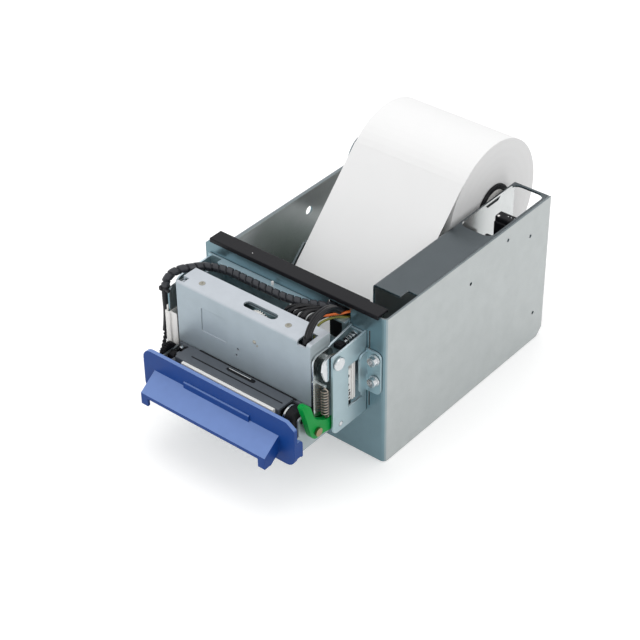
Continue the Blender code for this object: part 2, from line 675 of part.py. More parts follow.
# Places from the axle, and corner radii, as shares of the hook's size
HOOK_SHARES = (
    (0.256, -0.231, 0.125), (0.288, 0.269, 0.156), (-0.244, 0.406, 0.188), (-0.631, 0.300, 0.219),
    (-0.694, -0.106, 0.188), (-0.525, -0.575, 0.150), (-0.306, -0.594, 0.112), (-0.319, -0.244, 0.094))


def make_hinge_hook():
    hole = circle((AXLE_Y, AXLE_Z), AXLE_HOLE_RADIUS)
    outline = rounded([(AXLE_Y + u * HOOK_SIZE, AXLE_Z + v * HOOK_SIZE, radius * HOOK_SIZE)
                       for u, v, radius in HOOK_SHARES])
    prism("hinge_hook", [outline, hole], "X", HOOK_X, HOOK_X + SHEET, "bright_steel")


# Module cover: front plate, top plate with the wheel slot, two ears, a plain window recess
COVER_MARGIN = 0.0091
COVER_FRONT = -0.0384
COVER_BACK = -0.0216
COVER_BOTTOM = 0.0544
COVER_TOP = 0.0958
EAR_BOTTOM = 0.0866
EAR_FRONT_DROP = 0.0020
COVER_SLOT_OFFSET = 0.0466
COVER_SLOT_X = PAPER_LEFT + COVER_SLOT_OFFSET
COVER_SLOT_Y = -0.0297
COVER_SLOT_LENGTH = 0.0235
COVER_SLOT_WIDTH = 0.0056
NOTCH_LENGTH = 0.0048
NOTCH_WIDTH = 0.0042
CABLE_CUT_RIGHT = 0.0030
CABLE_CUT_WIDTH = 0.0062
CABLE_CUT_DEPTH = 0.0105
COVER_SCREW_Y = -0.0309
COVER_SCREW_LEFT = 0.0042
COVER_SCREW_RIGHT = 0.0125
COVER_SCREWS_X = (PAPER_LEFT + COVER_SCREW_LEFT, PAPER_RIGHT - COVER_SCREW_RIGHT)
COVER_SCREW_RADIUS = 0.0020
DOME_SHARE = 0.7
COVER_SCREW_HEAD = 0.0009
COVER_SCREW_SHANK = 0.0010
COVER_SCREW_LENGTH = 0.0040
RECESS_LEFT = 0.0305
RECESS_RIGHT = 0.0495
RECESS_BOTTOM = 0.0695
RECESS_TOP = 0.0855
RECESS_CORNER = 0.0012
RECESS_DEPTH = 0.0004
SMALL_HOLES = ((0.0575, 0.0690), (0.0562, 0.0645))
SMALL_HOLE_RADIUS = 0.0008


def make_cover():
    left, right = PAPER_LEFT - COVER_MARGIN, PAPER_RIGHT + COVER_MARGIN
    side = rounded([
        (COVER_FRONT, COVER_BOTTOM), (COVER_FRONT + SHEET, COVER_BOTTOM),
        (COVER_FRONT + SHEET, COVER_TOP - SHEET, BEND - SHEET), (COVER_BACK, COVER_TOP - SHEET),
        (COVER_BACK, COVER_TOP), (COVER_FRONT, COVER_TOP, BEND)])
    cover = prism("module_cover", [side], "X", left, right, "cover_steel")
    ear = rounded([
        (COVER_FRONT + SHEET / 2, EAR_BOTTOM),
        (COVER_FRONT + 3 * SHEET, EAR_BOTTOM - EAR_FRONT_DROP / 2),
        (COVER_BACK, EAR_BOTTOM + EAR_FRONT_DROP / 2), (COVER_BACK, COVER_TOP - SHEET / 2),
        (COVER_FRONT + SHEET / 2, COVER_TOP - SHEET / 2)])
    for x in (left, right - SHEET):
        join(cover, prism("cover_ear", [ear], "X", x, x + SHEET, "cover_steel"))
    slot = slot_outline((COVER_SLOT_X, COVER_SLOT_Y), COVER_SLOT_LENGTH, COVER_SLOT_WIDTH)
    notch_front = COVER_FRONT + BEND
    notch = rectangle((left - OVERRUN, notch_front), (left + NOTCH_WIDTH, notch_front + NOTCH_LENGTH))
    cable_right = right - CABLE_CUT_RIGHT
    cable = rectangle((cable_right - CABLE_CUT_WIDTH, COVER_FRONT - OVERRUN),
                      (cable_right, COVER_FRONT + CABLE_CUT_DEPTH))
    shanks = [circle((x, COVER_SCREW_Y), COVER_SCREW_SHANK + GAP) for x in COVER_SCREWS_X]
    cut(cover, prism("cover_top_cuts", [slot, notch, cable] + shanks, "Z",
                     COVER_TOP - SHEET - OVERRUN / 2, COVER_TOP + OVERRUN, "cover_steel"))
    recess = rectangle((RECESS_LEFT, RECESS_BOTTOM), (RECESS_RIGHT, RECESS_TOP), RECESS_CORNER)
    cut(cover, prism("cover_recess", [recess], "Y", COVER_FRONT - OVERRUN,
                     COVER_FRONT + RECESS_DEPTH, "cover_steel"))
    holes = [circle(spot, SMALL_HOLE_RADIUS, HOLE_STEPS // 2) for spot in SMALL_HOLES]
    cut(cover, prism("cover_holes", holes, "Y", COVER_FRONT - OVERRUN,
                     COVER_FRONT + SHEET + GAP, "cover_steel"))
    seat = COVER_TOP + GAP
    for name, x in zip(("cover_screw_left", "cover_screw_right"), COVER_SCREWS_X):
        profile = [
            (0, seat + COVER_SCREW_HEAD), (COVER_SCREW_RADIUS * DOME_SHARE, seat + COVER_SCREW_HEAD),
            (COVER_SCREW_RADIUS, seat + COVER_SCREW_HEAD / 2), (COVER_SCREW_RADIUS, seat),
            (COVER_SCREW_SHANK, seat), (COVER_SCREW_SHANK, seat - COVER_SCREW_LENGTH),
            (0, seat - COVER_SCREW_LENGTH)]
        turned(name, profile, "Z", (x, COVER_SCREW_Y), "bright_steel", HOLE_STEPS)


# Gears
TOOTH_TIP = 0.8             # in modules above the pitch circle
TOOTH_ROOT = 1.2            # in modules below it
TIP_SHARE = 0.11            # half a tooth's width at its tip, as a share of the pitch
ROOT_SHARE = 0.30
FEED_TEETH = 24
PLATEN_TEETH = 54
PINION_TEETH = 12
CUTTER_TEETH = 32
GEAR_WIDTH = 0.003


def pitch_radius(teeth):
    return GEAR_MODULE * teeth / 2


def gear_outline(centre, teeth, phase):
    pitch = 2 * pi / teeth
    tip = pitch_radius(teeth) + TOOTH_TIP * GEAR_MODULE
    root = pitch_radius(teeth) - TOOTH_ROOT * GEAR_MODULE
    points = []
    for tooth in range(teeth):
        middle = phase + tooth * pitch
        for radius, share in ((root, -ROOT_SHARE), (tip, -TIP_SHARE), (tip, TIP_SHARE),
                              (root, ROOT_SHARE)):
            angle = middle + share * pitch
            points.append((centre[0] + radius * cos(angle), centre[1] + radius * sin(angle)))
    return points


def meshed_phase(teeth_a, phase_a, teeth_b, direction):
    """Phase of gear b that puts its gaps at gear a's teeth, b lying in this direction from a."""
    return direction + pi - (pi - teeth_a * (direction - phase_a)) / teeth_b


# Drive of the front unit: platen below the paper, exit roller above it, motor pinion behind
PLATEN_TILT = radians(30.85)
MOTOR_TILT = radians(20)
PLATEN_DISTANCE = pitch_radius(FEED_TEETH + PLATEN_TEETH)
MOTOR_DISTANCE = pitch_radius(PINION_TEETH + PLATEN_TEETH)
PLATEN_Y = FEED_Y + PLATEN_DISTANCE * cos(PLATEN_TILT)
PLATEN_Z = FEED_Z - PLATEN_DISTANCE * sin(PLATEN_TILT)
MOTOR_Y = PLATEN_Y + MOTOR_DISTANCE * cos(MOTOR_TILT)
MOTOR_Z = PLATEN_Z + MOTOR_DISTANCE * sin(MOTOR_TILT)
GEARS_REACH = 0.0130
GEARS_X = PAPER_LEFT - GEARS_REACH
SHAFT_RADIUS = 0.0015
SHAFT_HOLE = 0.0018
PLATEN_RADIUS = 0.0055
PLATEN_SHAFT = 0.0020
FEED_RADIUS = 0.0039
RUBBER_MARGIN = 0.0007
BAND_WIDTH = 0.010
FEED_BANDS = 3
KNOB_RADIUS = 0.0063
KNOB_CLEARANCE = 0.0014
KNOB_LEFT = PAPER_RIGHT + KNOB_CLEARANCE
KNOB_WIDTH = 0.0063
KNOB_ROUND = 0.0014
BEARING_RADIUS = 0.0066
BEARING_WIDTH = 0.0011
MOTOR_RADIUS = 0.0074
MOTOR_LENGTH = 0.0070
MOTOR_SHAFT = 0.0010
MOTOR_BORE = 0.0013
TRAY_LEFT_REACH = 0.0147
TRAY_LEFT = PAPER_LEFT - TRAY_LEFT_REACH
TRAY_RIGHT = KNOB_LEFT + KNOB_WIDTH + GAP
GEAR_CLEARANCE = 0.0005
GEAR_PLATE_X = GEARS_X + GEAR_WIDTH + GEAR_CLEARANCE


def make_feed_roller():
    start = TRAY_LEFT
    end = TRAY_RIGHT + SHEET
    pad = SHAFT_RADIUS
    left, right = PAPER_LEFT + RUBBER_MARGIN, PAPER_RIGHT - 3 * RUBBER_MARGIN - SHEET
    step = (right - left - BAND_WIDTH) / (FEED_BANDS - 1)
    profile = [(0, end), (pad, end)]
    for band in reversed(range(FEED_BANDS)):
        low = left + band * step
        high = low + BAND_WIDTH
        profile += [(pad, high), (FEED_RADIUS, high), (FEED_RADIUS, low), (pad, low)]
    profile += [(pad, start), (0, start)]
    turned("feed_roller", profile, "X", (FEED_Y, FEED_Z), "rubber")
    outline = gear_outline((FEED_Y, FEED_Z), FEED_TEETH, -PLATEN_TILT)
    bore = circle((FEED_Y, FEED_Z), SHAFT_HOLE)
    prism("feed_gear", [outline, bore], "X", GEARS_X, GEARS_X + GEAR_WIDTH, "black_plastic",
          (FEED_Y, FEED_Z))
    knob = [
        (SHAFT_HOLE, KNOB_LEFT + KNOB_WIDTH), (KNOB_RADIUS - 2 * KNOB_ROUND, KNOB_LEFT + KNOB_WIDTH),
        (KNOB_RADIUS - KNOB_ROUND / 2, KNOB_LEFT + KNOB_WIDTH - KNOB_ROUND / 2),
        (KNOB_RADIUS, KNOB_LEFT + KNOB_WIDTH - KNOB_ROUND), (KNOB_RADIUS, KNOB_LEFT),
        (SHAFT_HOLE, KNOB_LEFT)]
    turned("feed_knob", knob, "X", (FEED_Y, FEED_Z), "rubber", WHEEL_STEPS, closed=True)
    face = KNOB_LEFT - GAP
    ring = [(SHAFT_HOLE, face), (BEARING_RADIUS, face), (BEARING_RADIUS, face - BEARING_WIDTH),
            (SHAFT_HOLE, face - BEARING_WIDTH)]
    turned("feed_bearing", ring, "X", (FEED_Y, FEED_Z), "bright_steel", WHEEL_STEPS, closed=True)


def make_platen():
    centre = (PLATEN_Y, PLATEN_Z)
    left, right = PAPER_LEFT - RUBBER_MARGIN, PAPER_RIGHT + RUBBER_MARGIN
    profile = [
        (0, TRAY_RIGHT + SHEET - GAP), (PLATEN_SHAFT, TRAY_RIGHT + SHEET - GAP), (PLATEN_SHAFT, right),
        (PLATEN_RADIUS, right), (PLATEN_RADIUS, left), (PLATEN_SHAFT, left),
        (PLATEN_SHAFT, TRAY_LEFT + GAP), (0, TRAY_LEFT + GAP)]
    turned("platen_roller", profile, "X", centre, "rubber", WHEEL_STEPS)
    outline = gear_outline(centre, PLATEN_TEETH, platen_phase())
    bore = circle(centre, PLATEN_SHAFT + GAP)
    prism("platen_gear", [outline, bore], "X", GEARS_X, GEARS_X + GEAR_WIDTH, "white_plastic",
          centre)


def platen_phase():
    return meshed_phase(FEED_TEETH, -PLATEN_TILT, PLATEN_TEETH, -PLATEN_TILT)


def make_feed_motor():
    centre = (MOTOR_Y, MOTOR_Z)
    phase = meshed_phase(PLATEN_TEETH, platen_phase(), PINION_TEETH, MOTOR_TILT)
    outline = gear_outline(centre, PINION_TEETH, phase)
    prism("motor_pinion", [outline, circle(centre, MOTOR_BORE)], "X", GEARS_X,
          GEARS_X + GEAR_WIDTH, "bright_steel", centre)
    face = GEAR_PLATE_X + SHEET + GAP
    profile = [
        (0, face + MOTOR_LENGTH), (MOTOR_RADIUS, face + MOTOR_LENGTH), (MOTOR_RADIUS, face),
        (MOTOR_SHAFT, face), (MOTOR_SHAFT, GEARS_X - GAP), (0, GEARS_X - GAP)]
    turned("feed_motor", profile, "X", centre, "galvanised", WHEEL_STEPS)


# Front unit: arms, tray, gear plate, guides, housing
LEFT_ARM_REACH = 0.0162
RIGHT_ARM_REACH = 0.0095
LEFT_ARM_X = PAPER_LEFT - LEFT_ARM_REACH
RIGHT_ARM_X = PAPER_RIGHT + RIGHT_ARM_REACH
ARM_BOTTOM = 0.036
ARM_TOP = 0.0880
ARM_FRONT = -0.0380
ARM_BACK = -0.0212
ARM_ROUND = 0.0045
ARM_FLANGE = 0.0016
TAB_SETBACK = 0.0008
LEFT_ARM_FRONT = -0.0392
LEFT_ARM_WAIST = -0.0315
LEFT_TAB_BOTTOM = 0.0720
GUARD_FRONT = -0.0385
GUARD_AHEAD = 0.0016        # of the frame's left plate
GUARD_BACK = -FRAME_DEPTH - GUARD_AHEAD
GUARD_TOP = 0.0755
GUARD_BOTTOM = 0.0400
TRAY_BOTTOM = 0.028
BEZEL_FRONT = -0.0600
BEZEL_WALL = 0.0025
TRAY_FRONT_Y = BEZEL_FRONT + BEZEL_WALL + GAP
TRAY_BACK_Y = -0.0240
TRAY_SIDE_TOP = 0.0440
TRAY_LUG_TOP = 0.0520
TRAY_LUG_HALF = 0.0034
TRAY_NOSE_TOP = 0.0385
GEAR_PLATE_BACK = -0.0050
GEAR_PLATE_TOP = 0.0480
SPRING_POST_Y = -0.0324
SPRING_POST_Z = 0.0678
SPRING_POST_RADIUS = 0.0009
SPRING_POST_LENGTH = 0.0040


def make_arms():
    hole = circle((AXLE_Y, AXLE_Z), AXLE_HOLE_RADIUS)
    right = rounded([
        (ARM_FRONT, ARM_BOTTOM, BEND), (ARM_BACK, ARM_BOTTOM, BEND), (ARM_BACK, ARM_TOP, ARM_ROUND),
        (ARM_FRONT, ARM_TOP, ARM_ROUND)])
    arm = prism("right_arm", [right, hole], "X", RIGHT_ARM_X, RIGHT_ARM_X + SHEET, "arm_steel")
    join(arm, box("arm_flange", (RIGHT_ARM_X, ARM_FRONT - SHEET / 2, ARM_BOTTOM + ARM_ROUND),
                  (RIGHT_ARM_X + ARM_FLANGE, ARM_FRONT + SHEET / 2, SPRING_POST_Z + ARM_ROUND),
                  "arm_steel"))
    join(arm, rod("spring_post", "X", (SPRING_POST_Y, SPRING_POST_Z), SPRING_POST_RADIUS,
                  RIGHT_ARM_X + SHEET / 2, RIGHT_ARM_X + SHEET + SPRING_POST_LENGTH, "arm_steel",
                  HOLE_STEPS // 2))
    left = rounded([
        (LEFT_ARM_FRONT, ARM_BOTTOM, BEND), (LEFT_ARM_WAIST, ARM_BOTTOM, BEND),
        (LEFT_ARM_WAIST, LEFT_TAB_BOTTOM), (ARM_BACK, LEFT_TAB_BOTTOM, BEND),
        (ARM_BACK, ARM_TOP, ARM_ROUND), (LEFT_ARM_FRONT + TAB_SETBACK, ARM_TOP, ARM_ROUND),
        (LEFT_ARM_FRONT + TAB_SETBACK, LEFT_TAB_BOTTOM), (LEFT_ARM_FRONT, LEFT_TAB_BOTTOM)])
    prism("left_arm", [left, hole], "X", LEFT_ARM_X, LEFT_ARM_X + SHEET, "galvanised")
    guard = rounded([
        (GUARD_FRONT, GUARD_BOTTOM, BEND), (GUARD_BACK, GUARD_BOTTOM, BEND),
        (GUARD_BACK, GUARD_TOP, BEND), (GUARD_FRONT, GUARD_TOP, BEND)])
    prism("side_guard", [guard], "X", FRAME_LEFT + GAP, LEFT_ARM_X - GAP, "white_plastic")


def side_outline(bottom):
    """Outline of the tray's side flanges, raised where they carry the exit roller."""
    return rounded([
        (TRAY_FRONT_Y, bottom), (TRAY_BACK_Y, bottom), (TRAY_BACK_Y, TRAY_SIDE_TOP, BEND),
        (FEED_Y + TRAY_LUG_HALF, TRAY_SIDE_TOP), (FEED_Y + TRAY_LUG_HALF, TRAY_LUG_TOP, BEND),
        (FEED_Y - TRAY_LUG_HALF, TRAY_LUG_TOP, BEND), (FEED_Y - TRAY_LUG_HALF, TRAY_NOSE_TOP + BEND),
        (TRAY_FRONT_Y, TRAY_NOSE_TOP, BEND)])


def make_lower_tray():
    left, right = TRAY_LEFT, TRAY_RIGHT + SHEET
    bottom, top = TRAY_BOTTOM, TRAY_LUG_TOP
    channel = [
        (left, bottom), (right, bottom), (right, top), (right - SHEET, top),
        (right - SHEET, bottom + SHEET), (left + SHEET, bottom + SHEET), (left + SHEET, top),
        (left, top)]
    tray = prism("lower_tray", [channel], "Y", TRAY_FRONT_Y - BEND, TRAY_BACK_Y + BEND,
                 "cover_steel")
    frame = rectangle((TRAY_FRONT_Y - OVERRUN, bottom - 2 * OVERRUN),
                      (TRAY_BACK_Y + OVERRUN, top + OVERRUN))
    holes = [circle((FEED_Y, FEED_Z), SHAFT_HOLE), circle((PLATEN_Y, PLATEN_Z), PLATEN_SHAFT + GAP)]
    cut(tray, prism("tray_trim", [frame, side_outline(bottom - OVERRUN)] + holes, "X", left - OVERRUN,
                    right + OVERRUN, "cover_steel"))
    slot_low = (GEARS_X - GAP, PLATEN_Y - pitch_radius(PLATEN_TEETH), bottom - OVERRUN)
    slot_high = (GEARS_X + GEAR_WIDTH + GAP, TRAY_BACK_Y + OVERRUN, bottom + SHEET + OVERRUN)
    cut(tray, box("gear_slot", slot_low, slot_high, "cover_steel"))


def make_gear_plate():
    bottom = TRAY_BOTTOM + SHEET + GAP
    raised = COVER_FRONT - GAP
    outline = rounded([
        (TRAY_FRONT_Y, bottom), (GEAR_PLATE_BACK, bottom, BEND),
        (GEAR_PLATE_BACK, GEAR_PLATE_TOP, BEND),
        (raised, GEAR_PLATE_TOP), (raised, TRAY_LUG_TOP, BEND),
        (TRAY_FRONT_Y + SHEET, TRAY_LUG_TOP, BEND), (TRAY_FRONT_Y, TRAY_NOSE_TOP)])
    holes = [circle((FEED_Y, FEED_Z), SHAFT_HOLE), circle((PLATEN_Y, PLATEN_Z), PLATEN_SHAFT + GAP),
             circle((MOTOR_Y, MOTOR_Z), MOTOR_BORE)]
    prism("gear_plate", [outline] + holes, "X", GEAR_PLATE_X, GEAR_PLATE_X + SHEET, "galvanised")


# Exit housing over the roller, the white strip in front of it and the guide below
HOUSING_FRONT = -0.0520
HOUSING_BACK = -0.0387
HOUSING_TOP = 0.0551
HOUSING_BOTTOM = 0.0455
HOUSING_WALL = 0.0015
HOUSING_INSET = 0.0027
HOUSING_RIGHT = PAPER_RIGHT - HOUSING_INSET
WING_FRONT = -0.0401
WING_BOTTOM = 0.0527
GROOVE_Y = -0.0464
GROOVE_WIDTH = 0.0008
GROOVE_DEPTH = 0.0006
GROOVE_LEFT = 0.0287
GROOVE_RIGHT = 0.0965
RIDGE_X = 0.0615
RIDGE_Y = -0.0418
RIDGE_LENGTH = 0.0200
RIDGE_WIDTH = 0.0022
STRIP_LEFT = 0.0282
STRIP_RIGHT = 0.0963
STRIP_FRONT = -0.0547
STRIP_BOTTOM = 0.0465
STRIP_TOP = 0.0553
STRIP_CHAMFER = 0.0006
GUIDE_TOP = 0.0446
GUIDE_NOSE = 0.0405
GUIDE_FRONT_Y = -0.0562
GUIDE_BEND_Y = -0.0500
BLADE = 0.0010
BLADE_TOP = 0.0436
MOVING_BLADE_FRONT = -0.0368


def make_exit_housing():
    left, right = GEAR_PLATE_X + SHEET + GAP, TRAY_RIGHT - GAP
    wall = HOUSING_WALL
    profile = rounded([
        (HOUSING_FRONT, HOUSING_BOTTOM), (HOUSING_FRONT + wall, HOUSING_BOTTOM),
        (HOUSING_FRONT + wall, HOUSING_TOP - wall), (HOUSING_BACK - wall, HOUSING_TOP - wall),
        (HOUSING_BACK - wall, HOUSING_BOTTOM), (HOUSING_BACK, HOUSING_BOTTOM),
        (HOUSING_BACK, HOUSING_TOP, wall / 2), (HOUSING_FRONT, HOUSING_TOP, wall / 2)])
    housing = prism("exit_housing", [profile], "X", PAPER_LEFT, HOUSING_RIGHT, "grey_plastic")
    for low, high in ((left, PAPER_LEFT + wall), (HOUSING_RIGHT - wall, right)):
        join(housing, box("housing_wing", (low, WING_FRONT, WING_BOTTOM),
                          (high, HOUSING_BACK, HOUSING_TOP - GROOVE_DEPTH), "grey_plastic"))
    groove = rectangle((GROOVE_LEFT, GROOVE_Y - GROOVE_WIDTH / 2),
                       (GROOVE_RIGHT, GROOVE_Y + GROOVE_WIDTH / 2))
    ridge = slot_outline((RIDGE_X, RIDGE_Y), RIDGE_LENGTH, RIDGE_WIDTH)
    cut(housing, prism("housing_grooves", [groove, ridge], "Z", HOUSING_TOP - GROOVE_DEPTH,
                       HOUSING_TOP + OVERRUN, "grey_plastic"))


def make_exit_strip():
    back = HOUSING_FRONT - GAP
    outline = rounded([
        (STRIP_FRONT, STRIP_BOTTOM), (back, STRIP_BOTTOM), (back, STRIP_TOP, STRIP_CHAMFER),
        (STRIP_FRONT, STRIP_TOP, STRIP_CHAMFER)], 2)
    prism("exit_strip", [outline], "X", STRIP_LEFT, STRIP_RIGHT, "white_plastic")


def make_lower_guide():
    bottom = TRAY_BOTTOM + SHEET + GAP
    back = MOVING_BLADE_FRONT - 2 * GAP - BLADE
    outline = [(GUIDE_FRONT_Y, bottom), (back, bottom), (back, GUIDE_TOP - BLADE),
               (back - BLADE, GUIDE_TOP), (GUIDE_BEND_Y, GUIDE_TOP), (GUIDE_FRONT_Y, GUIDE_NOSE)]
    margin = RUBBER_MARGIN
    right = KNOB_LEFT - 2 * GAP - BEARING_WIDTH
    prism("lower_guide", [outline], "X", PAPER_LEFT - margin, right, "grey_plastic")
    front = back + GAP
    blade = [(front, bottom), (front + BLADE, bottom), (front + BLADE, BLADE_TOP),
             (front, BLADE_TOP - BLADE / 2)]
    prism("fixed_blade", [blade], "X", PAPER_LEFT - margin, PAPER_RIGHT + margin, "bright_steel")


# Blue bezel: plate, hood over the mouth, rib, feet and right ear
BEZEL_LEFT = 0.0036
BEZEL_REACH = 0.0150
BEZEL_RIGHT = PAPER_RIGHT + BEZEL_REACH
BEZEL_BOTTOM = 0.028
BEZEL_TOP = 0.0573
BEZEL_CORNER = 0.006
BEZEL_SLOPE_WIDTH = 0.0058
BEZEL_SLOPE_DROP = 0.0037
HOOD_LEFT = 0.0120
HOOD_REACH = 0.0038
HOOD_RIGHT = PAPER_RIGHT + HOOD_REACH
HOOD_ROOT = 0.0453
HOOD_FRONT = -0.0722
HOOD_FRONT_TOP = 0.0366
HOOD_LIP = 0.0343
HOOD_WALL = 0.0018
HOOD_FOOT = 0.0035
HOOD_FOOT_DROP = 0.0054
HOOD_FOOT_WIDTH = 0.0050
MOUTH_BOTTOM = 0.0330
MOUTH_TOP = 0.0432
MOUTH_MARGIN = 0.0040
RIB_LEFT = 0.0353
RIB_RIGHT = 0.0840
RIB_FRONT = -0.0610
RIB_TOP = 0.0487
RIB_BOTTOM = 0.0425
RIB_ROUND = 0.0006
EAR_WIDTH = 0.0022
EAR_BACK = -0.0530
EAR_TOP = 0.0440
EAR_LOW = 0.0330
EAR_ROUND = 0.0040
EAR_NOTCH = 0.0015


def make_bezel():
    back = BEZEL_FRONT + BEZEL_WALL
    plate = rounded([
        (BEZEL_LEFT, BEZEL_BOTTOM, BEZEL_CORNER), (BEZEL_RIGHT, BEZEL_BOTTOM, BEZEL_CORNER),
        (BEZEL_RIGHT, BEZEL_TOP - BEZEL_SLOPE_DROP, BEND),
        (BEZEL_RIGHT - BEZEL_SLOPE_WIDTH, BEZEL_TOP, BEND),
        (BEZEL_LEFT, BEZEL_TOP, BEZEL_CORNER)], 2 * CORNER_STEPS)
    mouth = rectangle((PAPER_LEFT - MOUTH_MARGIN, MOUTH_BOTTOM),
                      (PAPER_RIGHT + MOUTH_MARGIN / 2, MOUTH_TOP))
    bezel = prism("bezel", [plate, mouth], "Y", BEZEL_FRONT, back, "blue_plastic")
    root = BEZEL_FRONT + BEZEL_WALL / 2
    wall = HOOD_WALL
    skin = [
        (root, HOOD_ROOT), (BEZEL_FRONT, HOOD_ROOT), (HOOD_FRONT, HOOD_FRONT_TOP),
        (HOOD_FRONT, HOOD_LIP), (HOOD_FRONT + wall, HOOD_LIP),
        (HOOD_FRONT + wall, HOOD_FRONT_TOP - wall / 2),
        (BEZEL_FRONT, HOOD_ROOT - wall), (root, HOOD_ROOT - wall)]
    hood = prism("hood_skin", [skin], "X", HOOD_LEFT, HOOD_RIGHT, "blue_plastic")
    cheek = [(root, HOOD_ROOT - wall / 2), (BEZEL_FRONT, HOOD_ROOT - wall / 2),
             (HOOD_FRONT + wall / 2, HOOD_FRONT_TOP - wall / 4),
             (HOOD_FRONT + wall / 2, HOOD_LIP - HOOD_FOOT_DROP),
             (HOOD_FRONT + wall + HOOD_FOOT, HOOD_LIP - HOOD_FOOT_DROP),
             (BEZEL_FRONT, BEZEL_BOTTOM + BEZEL_CORNER), (root, BEZEL_BOTTOM + BEZEL_CORNER)]
    for x in (HOOD_LEFT, HOOD_RIGHT - wall):
        join(bezel, prism("hood_cheek", [cheek], "X", x, x + wall, "blue_plastic"))
    join(bezel, hood)
    foot = rectangle((HOOD_FRONT, HOOD_LIP - HOOD_FOOT_DROP), (HOOD_FRONT + wall, HOOD_LIP + wall / 2))
    for x in (HOOD_LEFT, HOOD_RIGHT - HOOD_FOOT_WIDTH):
        join(bezel, prism("hood_foot", [foot], "X", x, x + HOOD_FOOT_WIDTH, "blue_plastic"))
    rib = rectangle((RIB_FRONT, RIB_BOTTOM), (root, RIB_TOP), RIB_ROUND)
    join(bezel, prism("hood_rib", [rib], "X", RIB_LEFT, RIB_RIGHT, "blue_plastic"))
    ear = rounded([
        (root, EAR_LOW), (EAR_BACK - EAR_NOTCH, EAR_LOW), (EAR_BACK - EAR_NOTCH, EAR_LOW - EAR_NOTCH / 2),
        (EAR_BACK, EAR_LOW - EAR_NOTCH / 2), (EAR_BACK, EAR_TOP, EAR_ROUND), (root, EAR_TOP)])
    join(bezel, prism("bezel_ear", [ear], "X", BEZEL_RIGHT - EAR_WIDTH, BEZEL_RIGHT, "blue_plastic"))


# Green release lever, its screw and its tension spring
LEVER_REACH = 0.0114
LEVER_LEFT = PAPER_RIGHT + LEVER_REACH
LEVER_WIDTH = 0.0038
LEVER_Y = -0.0408
LEVER_Z = 0.0420
LEVER_BORE = 0.0019
LEVER_LENGTH = 0.0236
LEVER_HEIGHT = 0.0304
LEVER_ROUND = 0.0008
# Places from the pivot as shares of the lever's length and height, and corners in its usual radius
LEVER_SHARES = (
    (-0.339, 0.641, 1.5), (-0.199, 0.704, 2.2), (-0.068, 0.599, 1.9), (-0.013, 0.289, 1.0),
    (0.161, 0.204, 1.0), (0.309, 0.138, 1.0), (0.424, 0.082, 0.8), (0.648, -0.026, 1.0),
    (0.661, -0.224, 1.2), (0.458, -0.296, 0.8), (0.267, -0.197, 0.8), (0.089, -0.283, 1.5),
    (-0.119, -0.138, 1.2), (-0.199, 0.099, 1.0))
SCREW_HEAD_RADIUS = 0.0026
SCREW_HEAD = 0.0014
SCREW_RADIUS = 0.0016
WIRE = 0.0006
SPRING_RADIUS = 0.0022
SPRING_REACH = 0.0134
SPRING_X = PAPER_RIGHT + SPRING_REACH
SPRING_TOP = 0.0638
SPRING_BOTTOM = 0.0472
SPRING_TOP_Y = -0.0318
SPRING_BOTTOM_Y = -0.0316
SPRING_CURLS = 13
CURL_POINTS = 9


def make_release_lever():
    pivot = (LEVER_Y, LEVER_Z)
    outline = rounded([(LEVER_Y + u * LEVER_LENGTH, LEVER_Z + v * LEVER_HEIGHT, corner * LEVER_ROUND)
                       for u, v, corner in LEVER_SHARES])
    prism("release_lever", [outline, circle(pivot, LEVER_BORE)], "X", LEVER_LEFT,
          LEVER_LEFT + LEVER_WIDTH, "green_plastic", pivot)
    face = LEVER_LEFT + LEVER_WIDTH + GAP
    profile = [
        (0, face + SCREW_HEAD), (SCREW_HEAD_RADIUS, face + SCREW_HEAD), (SCREW_HEAD_RADIUS, face),
        (SCREW_RADIUS, face), (SCREW_RADIUS, TRAY_RIGHT + SHEET + GAP), (0, TRAY_RIGHT + SHEET + GAP)]
    turned("lever_screw", profile, "X", pivot, "brass")


def least_gap(route, wire, skip):
    """Least distance between the surfaces of turns that aren't next to each other."""
    least = min((a - b).length for i, a in enumerate(route) for b in route[i + skip:])
    return least - wire


def make_release_spring():
    top = Vector((SPRING_X, SPRING_TOP_Y, SPRING_TOP))
    bottom = Vector((SPRING_X, SPRING_BOTTOM_Y, SPRING_BOTTOM))
    line = (bottom - top).normalized()
    side = Vector((1, 0, 0))
    across = line.cross(side)
    coil = []
    count = SPRING_CURLS * CURL_POINTS
    for step in range(count + 1):
        angle = 2 * pi * step / CURL_POINTS
        spot = top.lerp(bottom, step / count)
        coil.append(spot + SPRING_RADIUS * (cos(angle) * side + sin(angle) * across))
    print("release_spring least gap to itself, mm:",
          round(least_gap(coil, WIRE, CURL_POINTS // 2) * 1000, 3))
    middle_top = top - line * SPRING_RADIUS
    lead_in = middle_top - line * WIRE
    middle_bottom = bottom + line * (SPRING_RADIUS / 2)
    lead_out = middle_bottom + line * WIRE
    route = [lead_in, middle_top] + coil + [middle_bottom, lead_out]
    tube("release_spring", route, WIRE / 2, "bright_steel", 1)


# Cutter in the module: plate, wheel with its crank pin, pinion, motor, blade
CUTTER_OFFSET = 0.0453
CUTTER_X = PAPER_LEFT + CUTTER_OFFSET
CUTTER_Z = 0.0856
CUTTER_GEAR_FRONT = -0.0314
CRANK_RADIUS = 0.0030
CRANK_PIN = 0.0012
CUTTER_STROKE = CRANK_RADIUS * 2
YOKE_CLEARANCE = 0.0008
CUTTER_BORE = 0.0015
CUTTER_PLATE_BOTTOM = 0.0600
CUTTER_PINION_TILT = radians(-12)
CUTTER_MOTOR_RADIUS = 0.0068
CUTTER_MOTOR_LENGTH = 0.0052
BLADE_BOTTOM = 0.0470
BLADE_BODY_TOP = 0.0620
YOKE_WIDTH = 0.0160


